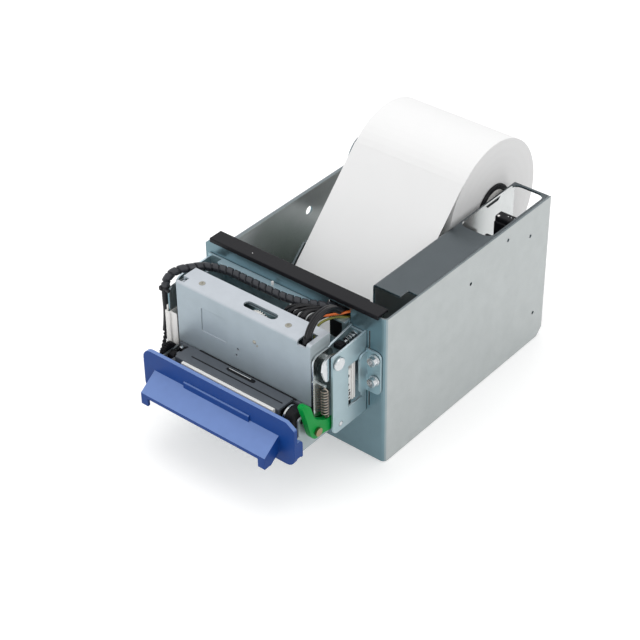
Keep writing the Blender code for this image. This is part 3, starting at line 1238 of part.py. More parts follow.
def make_cutter():
    centre = (CUTTER_X, CUTTER_Z)
    gear_back = CUTTER_GEAR_FRONT + GEAR_WIDTH
    outline = gear_outline(centre, CUTTER_TEETH, 0)
    gear = prism("cutter_gear", [outline, circle(centre, CUTTER_BORE)], "Y", CUTTER_GEAR_FRONT,
                 gear_back, "white_plastic", centre)
    blade_back = MOVING_BLADE_FRONT + BLADE
    pin_z = CUTTER_Z + CRANK_RADIUS
    join(gear, rod("crank_pin", "Y", (CUTTER_X, pin_z), CRANK_PIN, MOVING_BLADE_FRONT,
                   CUTTER_GEAR_FRONT + GEAR_WIDTH / 2, "white_plastic", HOLE_STEPS))
    distance = pitch_radius(CUTTER_TEETH + PINION_TEETH)
    pinion = (CUTTER_X + distance * cos(CUTTER_PINION_TILT),
              CUTTER_Z + distance * sin(CUTTER_PINION_TILT))
    phase = meshed_phase(CUTTER_TEETH, 0, PINION_TEETH, CUTTER_PINION_TILT)
    prism("cutter_pinion", [gear_outline(pinion, PINION_TEETH, phase), circle(pinion, MOTOR_BORE)],
          "Y", CUTTER_GEAR_FRONT, gear_back, "bright_steel", pinion)
    plate_front = gear_back + GAP
    plate_back = plate_front + SHEET
    left = FRAME_INNER_LEFT + SHEET + GAP
    right = BRACKET_INNER_LEFT - GAP
    sheet = rectangle((left, CUTTER_PLATE_BOTTOM), (right, COVER_TOP - SHEET - GAP))
    plate = prism("cutter_plate", [sheet, circle(pinion, MOTOR_BORE)], "Y", plate_front, plate_back,
                  "galvanised")
    cut(plate, box("cable_relief", (right - 2 * ARM_ROUND, plate_front - OVERRUN, EAR_BOTTOM - OVERRUN),
                   (right + OVERRUN, plate_back + OVERRUN, COVER_TOP + OVERRUN), "galvanised"))
    join(plate, rod("cutter_stud", "Y", centre, CUTTER_BORE - GAP, CUTTER_GEAR_FRONT - GAP,
                    plate_front + SHEET / 2, "galvanised", HOLE_STEPS))
    motor_front = plate_back + GAP
    motor_back = motor_front + CUTTER_MOTOR_LENGTH
    profile = [
        (0, motor_back), (CUTTER_MOTOR_RADIUS, motor_back), (CUTTER_MOTOR_RADIUS, motor_front),
        (MOTOR_SHAFT, motor_front), (MOTOR_SHAFT, CUTTER_GEAR_FRONT - GAP),
        (0, CUTTER_GEAR_FRONT - GAP)]
    turned("cutter_motor", profile, "Y", pinion, "galvanised", WHEEL_STEPS)
    half = YOKE_WIDTH / 2
    margin = RUBBER_MARGIN
    blade = [
        (PAPER_LEFT - margin, BLADE_BOTTOM), (PAPER_RIGHT - margin, BLADE_BOTTOM),
        (PAPER_RIGHT - margin, BLADE_BODY_TOP), (CUTTER_X + half, BLADE_BODY_TOP),
        (CUTTER_X + half, pin_z + CRANK_RADIUS), (CUTTER_X - half, pin_z + CRANK_RADIUS),
        (CUTTER_X - half, BLADE_BODY_TOP), (PAPER_LEFT - margin, BLADE_BODY_TOP)]
    yoke_width = 2 * (CRANK_PIN + YOKE_CLEARANCE)
    yoke = slot_outline((CUTTER_X, pin_z), 2 * CRANK_RADIUS + yoke_width + GAP, yoke_width)
    prism("moving_blade", [blade, yoke], "Y", MOVING_BLADE_FRONT, blade_back, "bright_steel")


# Thermal head on its rod, pressed down above the platen
HEAD_BOTTOM = 0.0452
HEAD_FRONT = -0.0346
HEAD_BACK = -0.0220
HEAD_TOP = 0.0580
HEAD_NOSE_Y = -0.0308
HEAD_NOSE_RISE = 0.0030
HEAD_STEP_DEPTH = 0.0072
HEAD_STEP_DROP = 0.0036


def make_thermal_head():
    hole = circle((HEAD_ROD_Y, HEAD_ROD_Z), HEAD_ROD_RADIUS + GAP)
    outline = [
        (HEAD_FRONT, HEAD_BOTTOM + HEAD_NOSE_RISE), (HEAD_NOSE_Y, HEAD_BOTTOM), (HEAD_BACK, HEAD_BOTTOM),
        (HEAD_BACK, HEAD_TOP), (HEAD_BACK - HEAD_STEP_DEPTH, HEAD_TOP),
        (HEAD_BACK - HEAD_STEP_DEPTH, HEAD_TOP - HEAD_STEP_DROP), (HEAD_FRONT, HEAD_TOP - HEAD_STEP_DROP)]
    prism("thermal_head", [outline, hole], "X", PAPER_LEFT, PAPER_RIGHT, "aluminium")
    rod("head_rod", "X", (HEAD_ROD_Y, HEAD_ROD_Z), HEAD_ROD_RADIUS, FRAME_INNER_LEFT + GAP,
        BRACKET_INNER_LEFT + SHEET - GAP, "bright_steel", HOLE_STEPS)


# Roll on its fixed spindle, with the arm that carries it and the black end ring
SPINDLE_RADIUS = 0.0121
SPINDLE_BORE_WALL = 0.0040
SPINDLE_BORE_DEPTH = 0.0050
CORE_CLEARANCE = 0.0004
ARM_PLATE = 0.0028
ARM_PLATE_HALF = 0.0150
ARM_PLATE_BOTTOM = 0.040
HUB_RADIUS = 0.0158
HUB_WIDTH = 0.0012
HUB_ROUND = 0.0004


def make_roll():
    centre = (ROLL_Y, ROLL_Z)
    arm_left = SHEET + GAP
    arm_right = arm_left + ARM_PLATE
    back = min(ROLL_Y + ARM_PLATE_HALF, CHASSIS_LENGTH)
    front = ROLL_Y - ARM_PLATE_HALF
    top = ROLL_Z + ARM_PLATE_HALF
    flank = rounded([
        (front, ARM_PLATE_BOTTOM, BEND), (back, ARM_PLATE_BOTTOM, BEND), (back, top, ARM_PLATE_HALF),
        (front, top, ARM_PLATE_HALF)], CORNER_STEPS * 2)
    arm = prism("spindle_arm", [flank], "X", arm_left, arm_right, "galvanised")
    hem = LEFT_WALL_HEIGHT - SHEET
    cut(arm, box("arm_hem_relief", (arm_left - OVERRUN, front - OVERRUN, hem - GAP),
                 (LEFT_HEM + GAP, back + OVERRUN, LEFT_WALL_HEIGHT + GAP), "galvanised"))
    end = PAPER_RIGHT + HUB_WIDTH
    bore = SPINDLE_RADIUS - SPINDLE_BORE_WALL
    profile = [
        (0, end - SPINDLE_BORE_DEPTH), (bore, end - SPINDLE_BORE_DEPTH), (bore, end),
        (SPINDLE_RADIUS, end),
        (SPINDLE_RADIUS, arm_right + GAP), (0, arm_right + GAP)]
    turned("spindle", profile, "X", centre, "white_plastic", WHEEL_STEPS)
    inner = SPINDLE_RADIUS + CORE_CLEARANCE
    roll = [(inner, PAPER_RIGHT), (ROLL_RADIUS, PAPER_RIGHT), (ROLL_RADIUS, PAPER_LEFT),
            (inner, PAPER_LEFT)]
    turned("paper_roll", roll, "X", centre, "paper", ROLL_STEPS, closed=True)
    face = PAPER_RIGHT + GAP
    ring = [
        (inner, face + HUB_WIDTH), (HUB_RADIUS - HUB_ROUND, face + HUB_WIDTH),
        (HUB_RADIUS, face + HUB_WIDTH - HUB_ROUND), (HUB_RADIUS, face), (inner, face)]
    turned("roll_hub", ring, "X", centre, "black_plastic", WHEEL_STEPS, closed=True)


# Paper web from the roll, under the guide roller, to the nip of head and platen
PAPER_SHEET = 0.0002
GUIDE_Y = 0.0162
GUIDE_Z = 0.0288
GUIDE_RADIUS = 0.0050
GUIDE_SHAFT = 0.0020
WEB_END_Y = -0.0262
WEB_END_Z = 0.0447
WEB_STEPS = 6
GUIDE_SHEET_DROP = 0.0030
GUIDE_SHEET_START = 0.030
GUIDE_SHEET_LENGTH = 0.052
GUIDE_SHEET_MARGIN = 0.0032
GUIDE_EDGE_HEIGHT = 0.0045


def web_middle():
    """Middle line of the web: straight off the roll, round the guide roller, straight to the nip."""
    roll = Vector((ROLL_Y, ROLL_Z))
    guide = Vector((GUIDE_Y, GUIDE_Z))
    near = PAPER_SHEET / 2 + GAP
    to_guide = guide - roll
    crossing = acos((ROLL_RADIUS + near + GUIDE_RADIUS + near) / to_guide.length)
    facing = atan2(to_guide.y, to_guide.x)
    normal_angle = facing - crossing
    normal = Vector((cos(normal_angle), sin(normal_angle)))
    start = roll + normal * (ROLL_RADIUS + near)
    touch_angle = normal_angle + pi
    end = Vector((WEB_END_Y, WEB_END_Z))
    to_end = end - guide
    leave = atan2(to_end.y, to_end.x) + acos((GUIDE_RADIUS + near) / to_end.length)
    leave = leave - 2 * pi if leave - touch_angle > pi else leave
    line = [start]
    for step in range(WEB_STEPS + 1):
        angle = touch_angle + (leave - touch_angle) * step / WEB_STEPS
        line.append(guide + Vector((cos(angle), sin(angle))) * (GUIDE_RADIUS + near))
    line.append(end)
    return line, normal


def make_web():
    line, normal = web_middle()
    sides = ([], [])
    for index, spot in enumerate(line):
        before = line[max(index - 1, 0)]
        after = line[min(index + 1, len(line) - 1)]
        along = (after - before).normalized()
        across = Vector((-along.y, along.x)) * (PAPER_SHEET / 2)
        sides[0].append(tuple(spot + across))
        sides[1].append(tuple(spot - across))
    prism("paper_web", [sides[0] + sides[1][::-1]], "X", PAPER_LEFT, PAPER_RIGHT, "paper")
    centre = (GUIDE_Y, GUIDE_Z)
    left, right = PAPER_LEFT - GUIDE_SHEET_MARGIN, CHANNEL_LEFT - GAP
    profile = [
        (0, right), (GUIDE_SHAFT, right), (GUIDE_SHAFT, PAPER_RIGHT), (GUIDE_RADIUS, PAPER_RIGHT),
        (GUIDE_RADIUS, PAPER_LEFT), (GUIDE_SHAFT, PAPER_LEFT), (GUIDE_SHAFT, SHEET + GAP),
        (0, SHEET + GAP)]
    turned("guide_roller", profile, "X", centre, "grey_plastic", WHEEL_STEPS)
    down = -normal
    along = Vector((-normal.y, normal.x))
    if along.y < 0:
        along = -along
    base = line[1] + down * GUIDE_SHEET_DROP + along * (GUIDE_SHEET_START - GUIDE_Y)
    top = base + along * GUIDE_SHEET_LENGTH
    foot = (base.x, SHEET + GAP)
    slab = [tuple(base), tuple(top), tuple(top + down * SHEET), (base.x + SHEET, base.y - SHEET),
            (base.x + SHEET, foot[1]), foot]
    guide = prism("web_guide", [slab], "X", left, right, "galvanised")
    low, high = base + along * BEND, top - along * BEND
    edge = [tuple(low + down * SHEET / 2), tuple(high + down * SHEET / 2),
            tuple(high - down * (GUIDE_EDGE_HEIGHT - BEND)), tuple(low - down * GUIDE_EDGE_HEIGHT)]
    edge_left = left + SHEET / 2
    join(guide, prism("guide_edge", [edge], "X", edge_left, edge_left + SHEET, "galvanised"))


# Control board on its posts
CHIP_SIZE = 0.012
CHIP_HEIGHT = 0.0018
CAN_RADIUS = 0.0040
CAN_HEIGHT = 0.0090
SOCKET_LENGTH = 0.018
SOCKET_DEPTH = 0.0055
SOCKET_HEIGHT = 0.0065
BOARD_INSET = 0.010
CAN_SHARES = (0.3, 0.7)        # along the board


def make_control_board():
    bottom, top = BOARD_HEIGHT, BOARD_HEIGHT + BOARD_THICKNESS
    sheet = rectangle((BOARD_LEFT, BOARD_FRONT), (BOARD_RIGHT, BOARD_BACK), BEND)
    board = prism("control_board", [sheet], "Z", bottom, top, "board")
    root = top - BOARD_THICKNESS / 2
    middle_x = (BOARD_LEFT + BOARD_RIGHT) / 2
    middle_y = (BOARD_FRONT + BOARD_BACK) / 2
    join(board, box("main_chip", (middle_x - CHIP_SIZE / 2, middle_y - CHIP_SIZE / 2, root),
                    (middle_x + CHIP_SIZE / 2, middle_y + CHIP_SIZE / 2, top + CHIP_HEIGHT), "board"))
    for share in CAN_SHARES:
        y = BOARD_FRONT + (BOARD_BACK - BOARD_FRONT) * share
        join(board, rod("capacitor", "Z", (BOARD_RIGHT - BOARD_INSET, y), CAN_RADIUS, root,
                        top + CAN_HEIGHT, "board", HOLE_STEPS))
        low = (BOARD_LEFT + BEND, y - SOCKET_LENGTH / 2, root)
        high = (BOARD_LEFT + BEND + SOCKET_DEPTH, y + SOCKET_LENGTH / 2, top + SOCKET_HEIGHT)
        join(board, box("socket", low, high, "board"))


# Paper near-end sensor on the right wall, with its swinging arm
SENSOR_WIDTH = 0.0138
SENSOR_FRONT = 0.1233
SENSOR_BACK = 0.1345
SENSOR_BOTTOM = 0.0780
SENSOR_TOP = 0.0991
SENSOR_STEP = 0.0034
SENSOR_NECK_FRONT = 0.1243
SENSOR_NECK_BACK = 0.1310
FINGER_LENGTH = 0.0060
FINGER_RADIUS = 0.0012
FINGER_Y = 0.1262
FINGER_BOTTOM = 0.0790
FINGER_THICKNESS = 0.0030


def make_sensor():
    right = WALL_RIGHT - GAP
    left = right - SENSOR_WIDTH
    outline = rounded([
        (SENSOR_FRONT, SENSOR_BOTTOM), (SENSOR_BACK, SENSOR_BOTTOM),
        (SENSOR_BACK, SENSOR_TOP - SENSOR_STEP, BEND / 2), (SENSOR_NECK_BACK, SENSOR_TOP - SENSOR_STEP),
        (SENSOR_NECK_BACK, SENSOR_TOP, BEND / 2), (SENSOR_NECK_FRONT, SENSOR_TOP, BEND / 2),
        (SENSOR_NECK_FRONT, SENSOR_TOP - SENSOR_STEP), (SENSOR_FRONT, SENSOR_TOP - SENSOR_STEP, BEND / 2)], 2)
    prism("sensor_body", [outline], "X", left, right, "black_plastic")
    pivot = (left - GAP - FINGER_RADIUS, FINGER_Y)
    finger = rounded([
        (pivot[0] + FINGER_RADIUS, pivot[1] - FINGER_RADIUS, FINGER_RADIUS),
        (pivot[0] + FINGER_RADIUS, pivot[1] + FINGER_RADIUS, FINGER_RADIUS),
        (pivot[0] - FINGER_LENGTH, pivot[1] + FINGER_RADIUS, FINGER_RADIUS),
        (pivot[0] - FINGER_LENGTH, pivot[1] - FINGER_RADIUS, FINGER_RADIUS)])
    prism("sensor_finger", [finger], "Z", FINGER_BOTTOM, FINGER_BOTTOM + FINGER_THICKNESS,
          "black_plastic", pivot)


# Harness: spiral-wrapped conduit, sleeve, left lead, right branch, flat cable
CONDUIT_RADIUS = 0.0023
CONDUIT_RIB = 0.0025
CONDUIT_RIB_SHARE = 0.86
CONDUIT_ROUTE = (
    (0.0010, -0.0363, 0.0870), (0.0011, -0.0360, 0.0888), (0.0015, -0.0345, 0.0906),
    (0.0026, -0.0316, 0.0928), (0.0044, -0.0288, 0.0944), (0.0066, -0.0260, 0.0951),
    (0.0086, -0.0228, 0.0948), (0.0104, -0.0188, 0.0942), (0.0140, -0.0146, 0.0936),
    (0.0200, -0.0113, 0.0931), (0.0270, -0.0097, 0.0930), (0.0380, -0.0096, 0.0930),
    (0.0500, -0.0096, 0.0930), (0.0640, -0.0095, 0.0931), (0.0740, -0.0088, 0.0937),
    (0.0820, -0.0075, 0.0943), (0.0880, -0.0050, 0.0947), (0.0930, -0.0022, 0.0944),
    (0.0965, 0.0030, 0.0934), (0.0975, 0.0090, 0.0915), (0.0975, 0.0150, 0.0880))
SLEEVE_RADIUS = 0.0020
SLEEVE_TOP = 0.0864
SLEEVE_BOTTOM = 0.0708
SLEEVE_X = 0.0010
SLEEVE_Y = -0.0363
LEAD_RADIUS = 0.0012
LEAD_SPACING = 0.0030
LEAD_ROUTE = (
    (0.0010, -0.0363, 0.0705), (0.0011, -0.0371, 0.0620), (0.0013, -0.0390, 0.0530),
    (0.0020, -0.0420, 0.0470), (0.0034, -0.0460, 0.0425), (0.0048, -0.0500, 0.0400))
BRANCH_RADIUS = 0.0021
BRANCH_SPACING = 0.0040
BRANCH_ROUTE = (
    (0.1022, 0.0130, 0.0880), (0.1026, 0.0065, 0.0913), (0.1029, 0.0012, 0.0934),
    (0.1034, -0.0040, 0.0972), (0.1041, -0.0110, 0.1032), (0.1045, -0.0180, 0.1060),
    (0.1045, -0.0250, 0.1054), (0.1045, -0.0306, 0.1014), (0.1043, -0.0338, 0.0950),
    (0.1042, -0.0345, 0.0900), (0.1042, -0.0346, 0.0868))
FLAT_LEFT = 0.0690
FLAT_RIGHT = 0.0900
FLAT_HALF = 0.0009
FLAT_ROUTE = (
    (0.0040, 0.0810), (-0.0030, 0.0845), (-0.0090, 0.0862), (-0.0150, 0.0850), (-0.0195, 0.0800),
    (-0.0212, 0.0720))


def make_harness():
    route = smooth_route(CONDUIT_ROUTE, CONDUIT_RIB)
    radii = [1 if index % 2 else CONDUIT_RIB_SHARE for index in range(len(route))]
    tube("harness_conduit", route, CONDUIT_RADIUS, "black_plastic", 2, radii)
    sleeve = [Vector((SLEEVE_X, SLEEVE_Y, SLEEVE_TOP)), Vector((SLEEVE_X, SLEEVE_Y, SLEEVE_BOTTOM))]
    tube("harness_sleeve", sleeve, SLEEVE_RADIUS, "black_plastic")
    tube("left_lead", smooth_route(LEAD_ROUTE, LEAD_SPACING), LEAD_RADIUS, "black_plastic")
    tube("right_branch", smooth_route(BRANCH_ROUTE, BRANCH_SPACING), BRANCH_RADIUS, "black_plastic")
    line = [Vector((0, y, z)) for y, z in FLAT_ROUTE]
    sides = ([], [])
    for index, spot in enumerate(line):
        along = line[min(index + 1, len(line) - 1)] - line[max(index - 1, 0)]
        across = Vector((0, -along.z, along.y)).normalized() * FLAT_HALF
        sides[0].append((spot + across).yz)
        sides[1].append((spot - across).yz)
    prism("flat_cable", [sides[0] + sides[1][::-1]], "X", FLAT_LEFT, FLAT_RIGHT, "black_plastic")


def make_all():
    make_chassis_tray()
    make_outer_wall()
    make_side_channel()
    make_top_bar()
    make_module_frame()
    make_right_bracket()
    make_bracket_tab()
    make_bracket_stop()
    make_catch_pin()
    make_axles()
    make_hinge_hook()
    make_cover()
    make_feed_roller()
    make_platen()
    make_feed_motor()
    make_arms()
    make_lower_tray()
    make_gear_plate()
    make_exit_housing()
    make_exit_strip()
    make_lower_guide()
    make_bezel()
    make_release_lever()
    make_release_spring()
    make_cutter()
    make_thermal_head()
    make_roll()
    make_web()
    make_control_board()
    make_sensor()
    make_harness()


make_all()
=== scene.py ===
"""Looks of the kiosk ticket printer: finishes for its CAD nodes, and the wiring and small parts on them."""

import math
import random

import bmesh
import bpy
from bpy.props import FloatProperty, FloatVectorProperty, IntProperty, PointerProperty
from bpy.types import Operator, Panel, PropertyGroup
from mathutils import Matrix, Vector


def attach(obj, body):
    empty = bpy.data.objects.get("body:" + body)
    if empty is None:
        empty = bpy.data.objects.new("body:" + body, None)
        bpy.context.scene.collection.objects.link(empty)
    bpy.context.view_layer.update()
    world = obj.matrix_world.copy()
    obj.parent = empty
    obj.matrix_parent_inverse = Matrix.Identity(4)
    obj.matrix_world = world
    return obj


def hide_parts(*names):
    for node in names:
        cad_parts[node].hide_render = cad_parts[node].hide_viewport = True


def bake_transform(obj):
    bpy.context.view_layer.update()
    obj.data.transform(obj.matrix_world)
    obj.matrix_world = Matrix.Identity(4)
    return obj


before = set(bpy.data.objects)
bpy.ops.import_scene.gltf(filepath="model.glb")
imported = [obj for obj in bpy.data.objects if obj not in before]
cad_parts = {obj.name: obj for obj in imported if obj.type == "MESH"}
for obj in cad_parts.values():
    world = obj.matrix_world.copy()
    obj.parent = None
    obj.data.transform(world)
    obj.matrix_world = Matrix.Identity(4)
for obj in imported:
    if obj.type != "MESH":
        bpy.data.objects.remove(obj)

bl_info = {
    "name": "Kiosk ticket printer looks",
    "version": (1, 0, 0),
    "blender": (4, 5, 0),
    "location": "3D View > Sidebar > Ticket printer",
    "description": "Finishes, wiring, fasteners and studio of a kiosk ticket printer",
    "category": "Object",
}

# The CAD was measured in millimetres from the left wall, the front panel and the floor.
LEFT_WALL = 66.0
FRONT_PANEL = 80.0
CREASE = math.radians(32)  # two faces that meet at a larger angle keep a sharp edge between them
ROUNDED_EDGE = 0.00028  # metres: the radius that a press brake or a mould leaves on an edge
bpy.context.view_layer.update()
FINISHES = {}  # each finish by its name; model.glb brings plain materials of the same names with it


def linear(code):
    """An sRGB hex colour such as #B0B5B5 as linear red, green, blue and alpha."""
    parts = [int(code[i:i + 2], 16) / 255 for i in (1, 3, 5)]
    return (*(c / 12.92 if c <= 0.04045 else ((c + 0.055) / 1.055) ** 2.4 for c in parts), 1.0)


def at(x, y, z):
    """A point given in millimetres from the left wall, the front panel and the floor, in metres."""
    return Vector(((x - LEFT_WALL) / 1000, (y - FRONT_PANEL) / 1000, z / 1000))


def mm(size):
    """A length given in millimetres, in metres."""
    return size / 1000


def per_metre(size):
    """How often a pattern whose grain is that many millimetres repeats in a metre."""
    return 1000 / size


# Settings.


class PrinterColours(PropertyGroup):
    """Colours of the printer's finishes"""

    zinc: FloatVectorProperty(
        name="Zinc sheet", description="Passivated zinc on the chassis where it faces sideways",
        subtype="COLOR", size=4, min=0, max=1, default=linear("#B0B5B5"))
    # Painted reflection: a darker, cooler tone that stands for what front-facing zinc mirrors, not a change
    # in the zinc.
    zinc_front_painted_reflection: FloatVectorProperty(
        name="Zinc sheet, front", description="The cooler tone of the zinc where it faces the front",
        subtype="COLOR", size=4, min=0, max=1, default=linear("#728C95"))
    cover: FloatVectorProperty(
        name="Cover sheet", description="Satin zinc of the print module's cover",
        subtype="COLOR", size=4, min=0, max=1, default=linear("#A9B6BE"))
    bezel: FloatVectorProperty(
        name="Bezel", description="Blue plastic of the ticket mouth",
        subtype="COLOR", size=4, min=0, max=1, default=linear("#0E3F88"))
    lever: FloatVectorProperty(
        name="Release lever", description="Green plastic of the release lever",
        subtype="COLOR", size=4, min=0, max=1, default=linear("#00963F"))
    black: FloatVectorProperty(
        name="Black plastic", description="Moulded black parts",
        subtype="COLOR", size=4, min=0, max=1, default=linear("#141418"))
    grey: FloatVectorProperty(
        name="Grey plastic", description="The exit housing and guides",
        subtype="COLOR", size=4, min=0, max=1, default=linear("#5B6067"))
    white: FloatVectorProperty(
        name="White plastic", description="Gears, guard and exit strip",
        subtype="COLOR", size=4, min=0, max=1, default=linear("#F1F0ED"))
    paper: FloatVectorProperty(
        name="Thermal paper", description="The ticket roll",
        subtype="COLOR", size=4, min=0, max=1, default=linear("#EEEEEE"))


class HarnessSizes(PropertyGroup):
    """Sizes of the wiring"""

    wrap_radius: FloatProperty(
        name="Wrap radius", description="Outside radius of the spiral wrap",
        unit="LENGTH", default=mm(2.55), min=mm(1), max=mm(4))
    wrap_pitch: FloatProperty(
        name="Wrap pitch", description="Distance from one turn of the wrap to the next",
        unit="LENGTH", default=mm(4.9), min=mm(2), max=mm(12))
    wire_radius: FloatProperty(
        name="Wire radius", description="Radius of one insulated wire",
        unit="LENGTH", default=mm(0.85), min=mm(0.3), max=mm(2))
    fan_wires: IntProperty(
        name="Wires in the fan", description="Wires that leave the wrap for the print module",
        default=11, min=3, max=20)


class StudioSettings(PropertyGroup):
    """Camera and lamps"""

    lens: FloatProperty(
        name="Lens", description="Focal length on a 36 mm sensor", unit="CAMERA",
        default=102.45, min=20, max=300)
    overhead: FloatProperty(
        name="Overhead softbox", description="Power of the softbox above", unit="POWER",
        default=6.4, min=0, max=50)
    key: FloatProperty(
        name="Front softbox", description="Power of the softbox at the front left", unit="POWER",
        default=3.4, min=0, max=50)
    side: FloatProperty(
        name="Side softbox", description="Power of the softbox at the right", unit="POWER",
        default=2.3, min=0, max=50)
    sky: FloatProperty(
        name="Room light", description="Strength of the room's even light",
        default=0.72, min=0, max=1)


# Materials.


def add(tree, kind, settings=None, inputs=None):
    """Adds a node with its settings and what goes into its sockets: a value, or another node's output."""
    node = tree.nodes.new(kind)
    for name, value in (settings or {}).items():
        setattr(node, name, value)
    for name, value in (inputs or {}).items():
        if isinstance(value, bpy.types.NodeSocket):
            tree.links.new(value, node.inputs[name])
        else:
            node.inputs[name].default_value = value
    return node


def new_finish(name, metallic, roughness, **constants):
    """A material with a Principled shader, and the places that its patterns start from."""
    material = FINISHES[name] = bpy.data.materials.new(name)
    material.use_nodes = True
    tree = material.node_tree
    shader = tree.nodes["Principled BSDF"]
    shader.inputs["Metallic"].default_value = metallic
    shader.inputs["Roughness"].default_value = roughness
    for socket, value in constants.items():
        shader.inputs[socket.replace("_", " ")].default_value = value
    return tree, shader, add(tree, "ShaderNodeTexCoord")


def painted_light_share(tree, coords, axis, low, high):
    """How far a face looks along that axis, which sets where painted light tones go: 0 until its normal is at
    the low value, 1 from the high one.
    """
    normal = add(tree, "ShaderNodeSeparateXYZ", inputs={0: coords.outputs["Normal"]})
    ramp = add(tree, "ShaderNodeMapRange", inputs={
        "Value": normal.outputs[axis], "From Min": low, "From Max": high})
    return ramp.outputs[0]


def mix(tree, share, first, second):
    """The first colour, which turns into the second as the share goes from 0 to 1."""
    # Sockets 0, 6 and 7 of a colour Mix are its factor and its two colours, and output 2 is its colour.
    return add(tree, "ShaderNodeMix", {"data_type": "RGBA"}, {0: share, 6: first, 7: second}).outputs[2]


def grain(tree, shader, coords, size, depth, stretch=(1, 1, 1)):
    """Fine relief of that grain and depth in millimetres, on edges that a tool has rounded."""
    place = add(tree, "ShaderNodeMapping", inputs={"Vector": coords.outputs["Object"], "Scale": stretch})
    noise = add(tree, "ShaderNodeTexNoise", inputs={
        "Vector": place.outputs[0], "Scale": per_metre(size), "Detail": 2.0, "Roughness": 0.6})
    edge = add(tree, "ShaderNodeBevel", {"samples": 4}, {"Radius": ROUNDED_EDGE})
    bump = add(tree, "ShaderNodeBump", inputs={
        "Strength": 1.0, "Distance": mm(depth), "Height": noise.outputs[0], "Normal": edge.outputs[0]})
    tree.links.new(bump.outputs[0], shader.inputs["Normal"])
    return noise


def mottle(tree, shader, coords, colour, size, spread):
    """Colour that drifts lighter and darker in patches of that size, by that spread."""
    cloud = add(tree, "ShaderNodeTexNoise", inputs={
        "Vector": coords.outputs["Object"], "Scale": per_metre(size), "Detail": 3.0, "Roughness": 0.55})
    value = add(tree, "ShaderNodeMapRange", inputs={
        "Value": cloud.outputs[0], "From Min": 0.3, "From Max": 0.7,
        "To Min": 1 - spread, "To Max": 1 + spread})
    drift = add(tree, "ShaderNodeHueSaturation", inputs={"Value": value.outputs[0], "Color": colour})
    tree.links.new(drift.outputs[0], shader.inputs["Base Color"])


def sheet_finish(name, side, front, top, metallic, roughness):
    """Zinc-plated rolled steel: its own colour on faces that look sideways, and painted light tones on faces
    that look to the front and up.
    """
    tree, shader, coords = new_finish(name, metallic, roughness)
    # Painted light: the front and top colours stand for how reflections and light fall on faces that look
    # that way, not for a change in the zinc.
    side_tone_and_painted_front = mix(tree, painted_light_share(tree, coords, "Y", -0.2, -0.85), side, front)
    colour = mix(tree, painted_light_share(tree, coords, "Z", 0.2, 0.85), side_tone_and_painted_front, top)
    mottle(tree, shader, coords, colour, 9.0, 0.035)
    noise = grain(tree, shader, coords, 0.35, 0.0012)
    # The coat is duller where its grain stands up.
    drift = 0.07
    sheen = add(tree, "ShaderNodeMapRange", inputs={
        "Value": noise.outputs[0], "To Min": roughness - drift, "To Max": roughness + drift})
    tree.links.new(sheen.outputs[0], shader.inputs["Roughness"])


def plated_finish(name, colour, roughness, stretch=(1, 1, 1)):
    """Turned or ground steel: bright, with the fine marks of the tool along one way."""
    tree, shader, coords = new_finish(name, 1.0, roughness)
    mottle(tree, shader, coords, colour, 3.0, 0.06)
    grain(tree, shader, coords, 0.3, 0.0015, stretch=stretch)


def moulded_finish(name, colour, roughness, size, depth, spread=0.04, painted_top_sheen=None, **constants):
    """Injection-moulded plastic: the mould's texture, drifts of tone, and, if given, a painted sheen: a
    lighter colour on top faces, as if lit from above.
    """
    tree, shader, coords = new_finish(name, 0.0, roughness, **constants)
    # Painted sheen: faces that look up take the lighter colour.
    if painted_top_sheen:
        colour = mix(tree, painted_light_share(tree, coords, "Z", 0.15, 0.8), colour, painted_top_sheen)
    mottle(tree, shader, coords, colour, 6.0, spread)
    grain(tree, shader, coords, size, depth)


ROLL_CENTRE = (61.2, 144.1, 88.4)
# One turn of 60 micron paper is too fine to show, so rings this many millimetres apart stand for them.
RING_SPACING = 5.655


def paper_finish(name, colour):
    """Coated thermal paper wound on a core: smooth outside, with faint rings on its two ends."""
    tree, shader, coords = new_finish(name, 0.0, 0.62, Specular_IOR_Level=0.3)
    place = add(tree, "ShaderNodeMapping", inputs={
        "Vector": coords.outputs["Object"], "Location": -at(*ROLL_CENTRE)})
    # A Wave texture draws a ring each 2 pi / 20 of its scaled space.
    rings = add(tree, "ShaderNodeTexWave", {"wave_type": "RINGS", "rings_direction": "X"}, {
        "Vector": place.outputs[0], "Scale": per_metre(RING_SPACING) * 2 * math.pi / 20,
        "Distortion": 0.6, "Detail": 2.0})
    normal = add(tree, "ShaderNodeSeparateXYZ", inputs={0: coords.outputs["Normal"]})
    ends = add(tree, "ShaderNodeMath", {"operation": "ABSOLUTE"}, {0: normal.outputs["X"]})
    turns = add(tree, "ShaderNodeMath", {"operation": "MULTIPLY"}, {0: ends.outputs[0], 1: rings.outputs[1]})
    shade = add(tree, "ShaderNodeMapRange", inputs={
        "Value": turns.outputs[0], "To Min": 1.0, "To Max": 0.988})
    tint = add(tree, "ShaderNodeHueSaturation", inputs={"Value": shade.outputs[0], "Color": colour})
    mottle(tree, shader, coords, tint.outputs[0], 30.0, 0.008)
    grain(tree, shader, coords, 0.4, 0.001)


def board_finish(name):
    """Epoxy-glass board under green solder resist, with copper tracks showing through as paler lines."""
    tree, shader, coords = new_finish(name, 0.0, 0.3, Coat_Weight=0.4, Coat_Roughness=0.1)
    tracks = add(tree, "ShaderNodeTexBrick", inputs={
        "Vector": coords.outputs["Object"], "Scale": per_metre(3.2), "Mortar Size": 0.05,
        "Color1": linear("#17583A"), "Color2": linear("#1B6241"), "Mortar": linear("#3C8A5E")})
    mottle(tree, shader, coords, tracks.outputs[0], 8.0, 0.05)
    grain(tree, shader, coords, 0.6, 0.01)


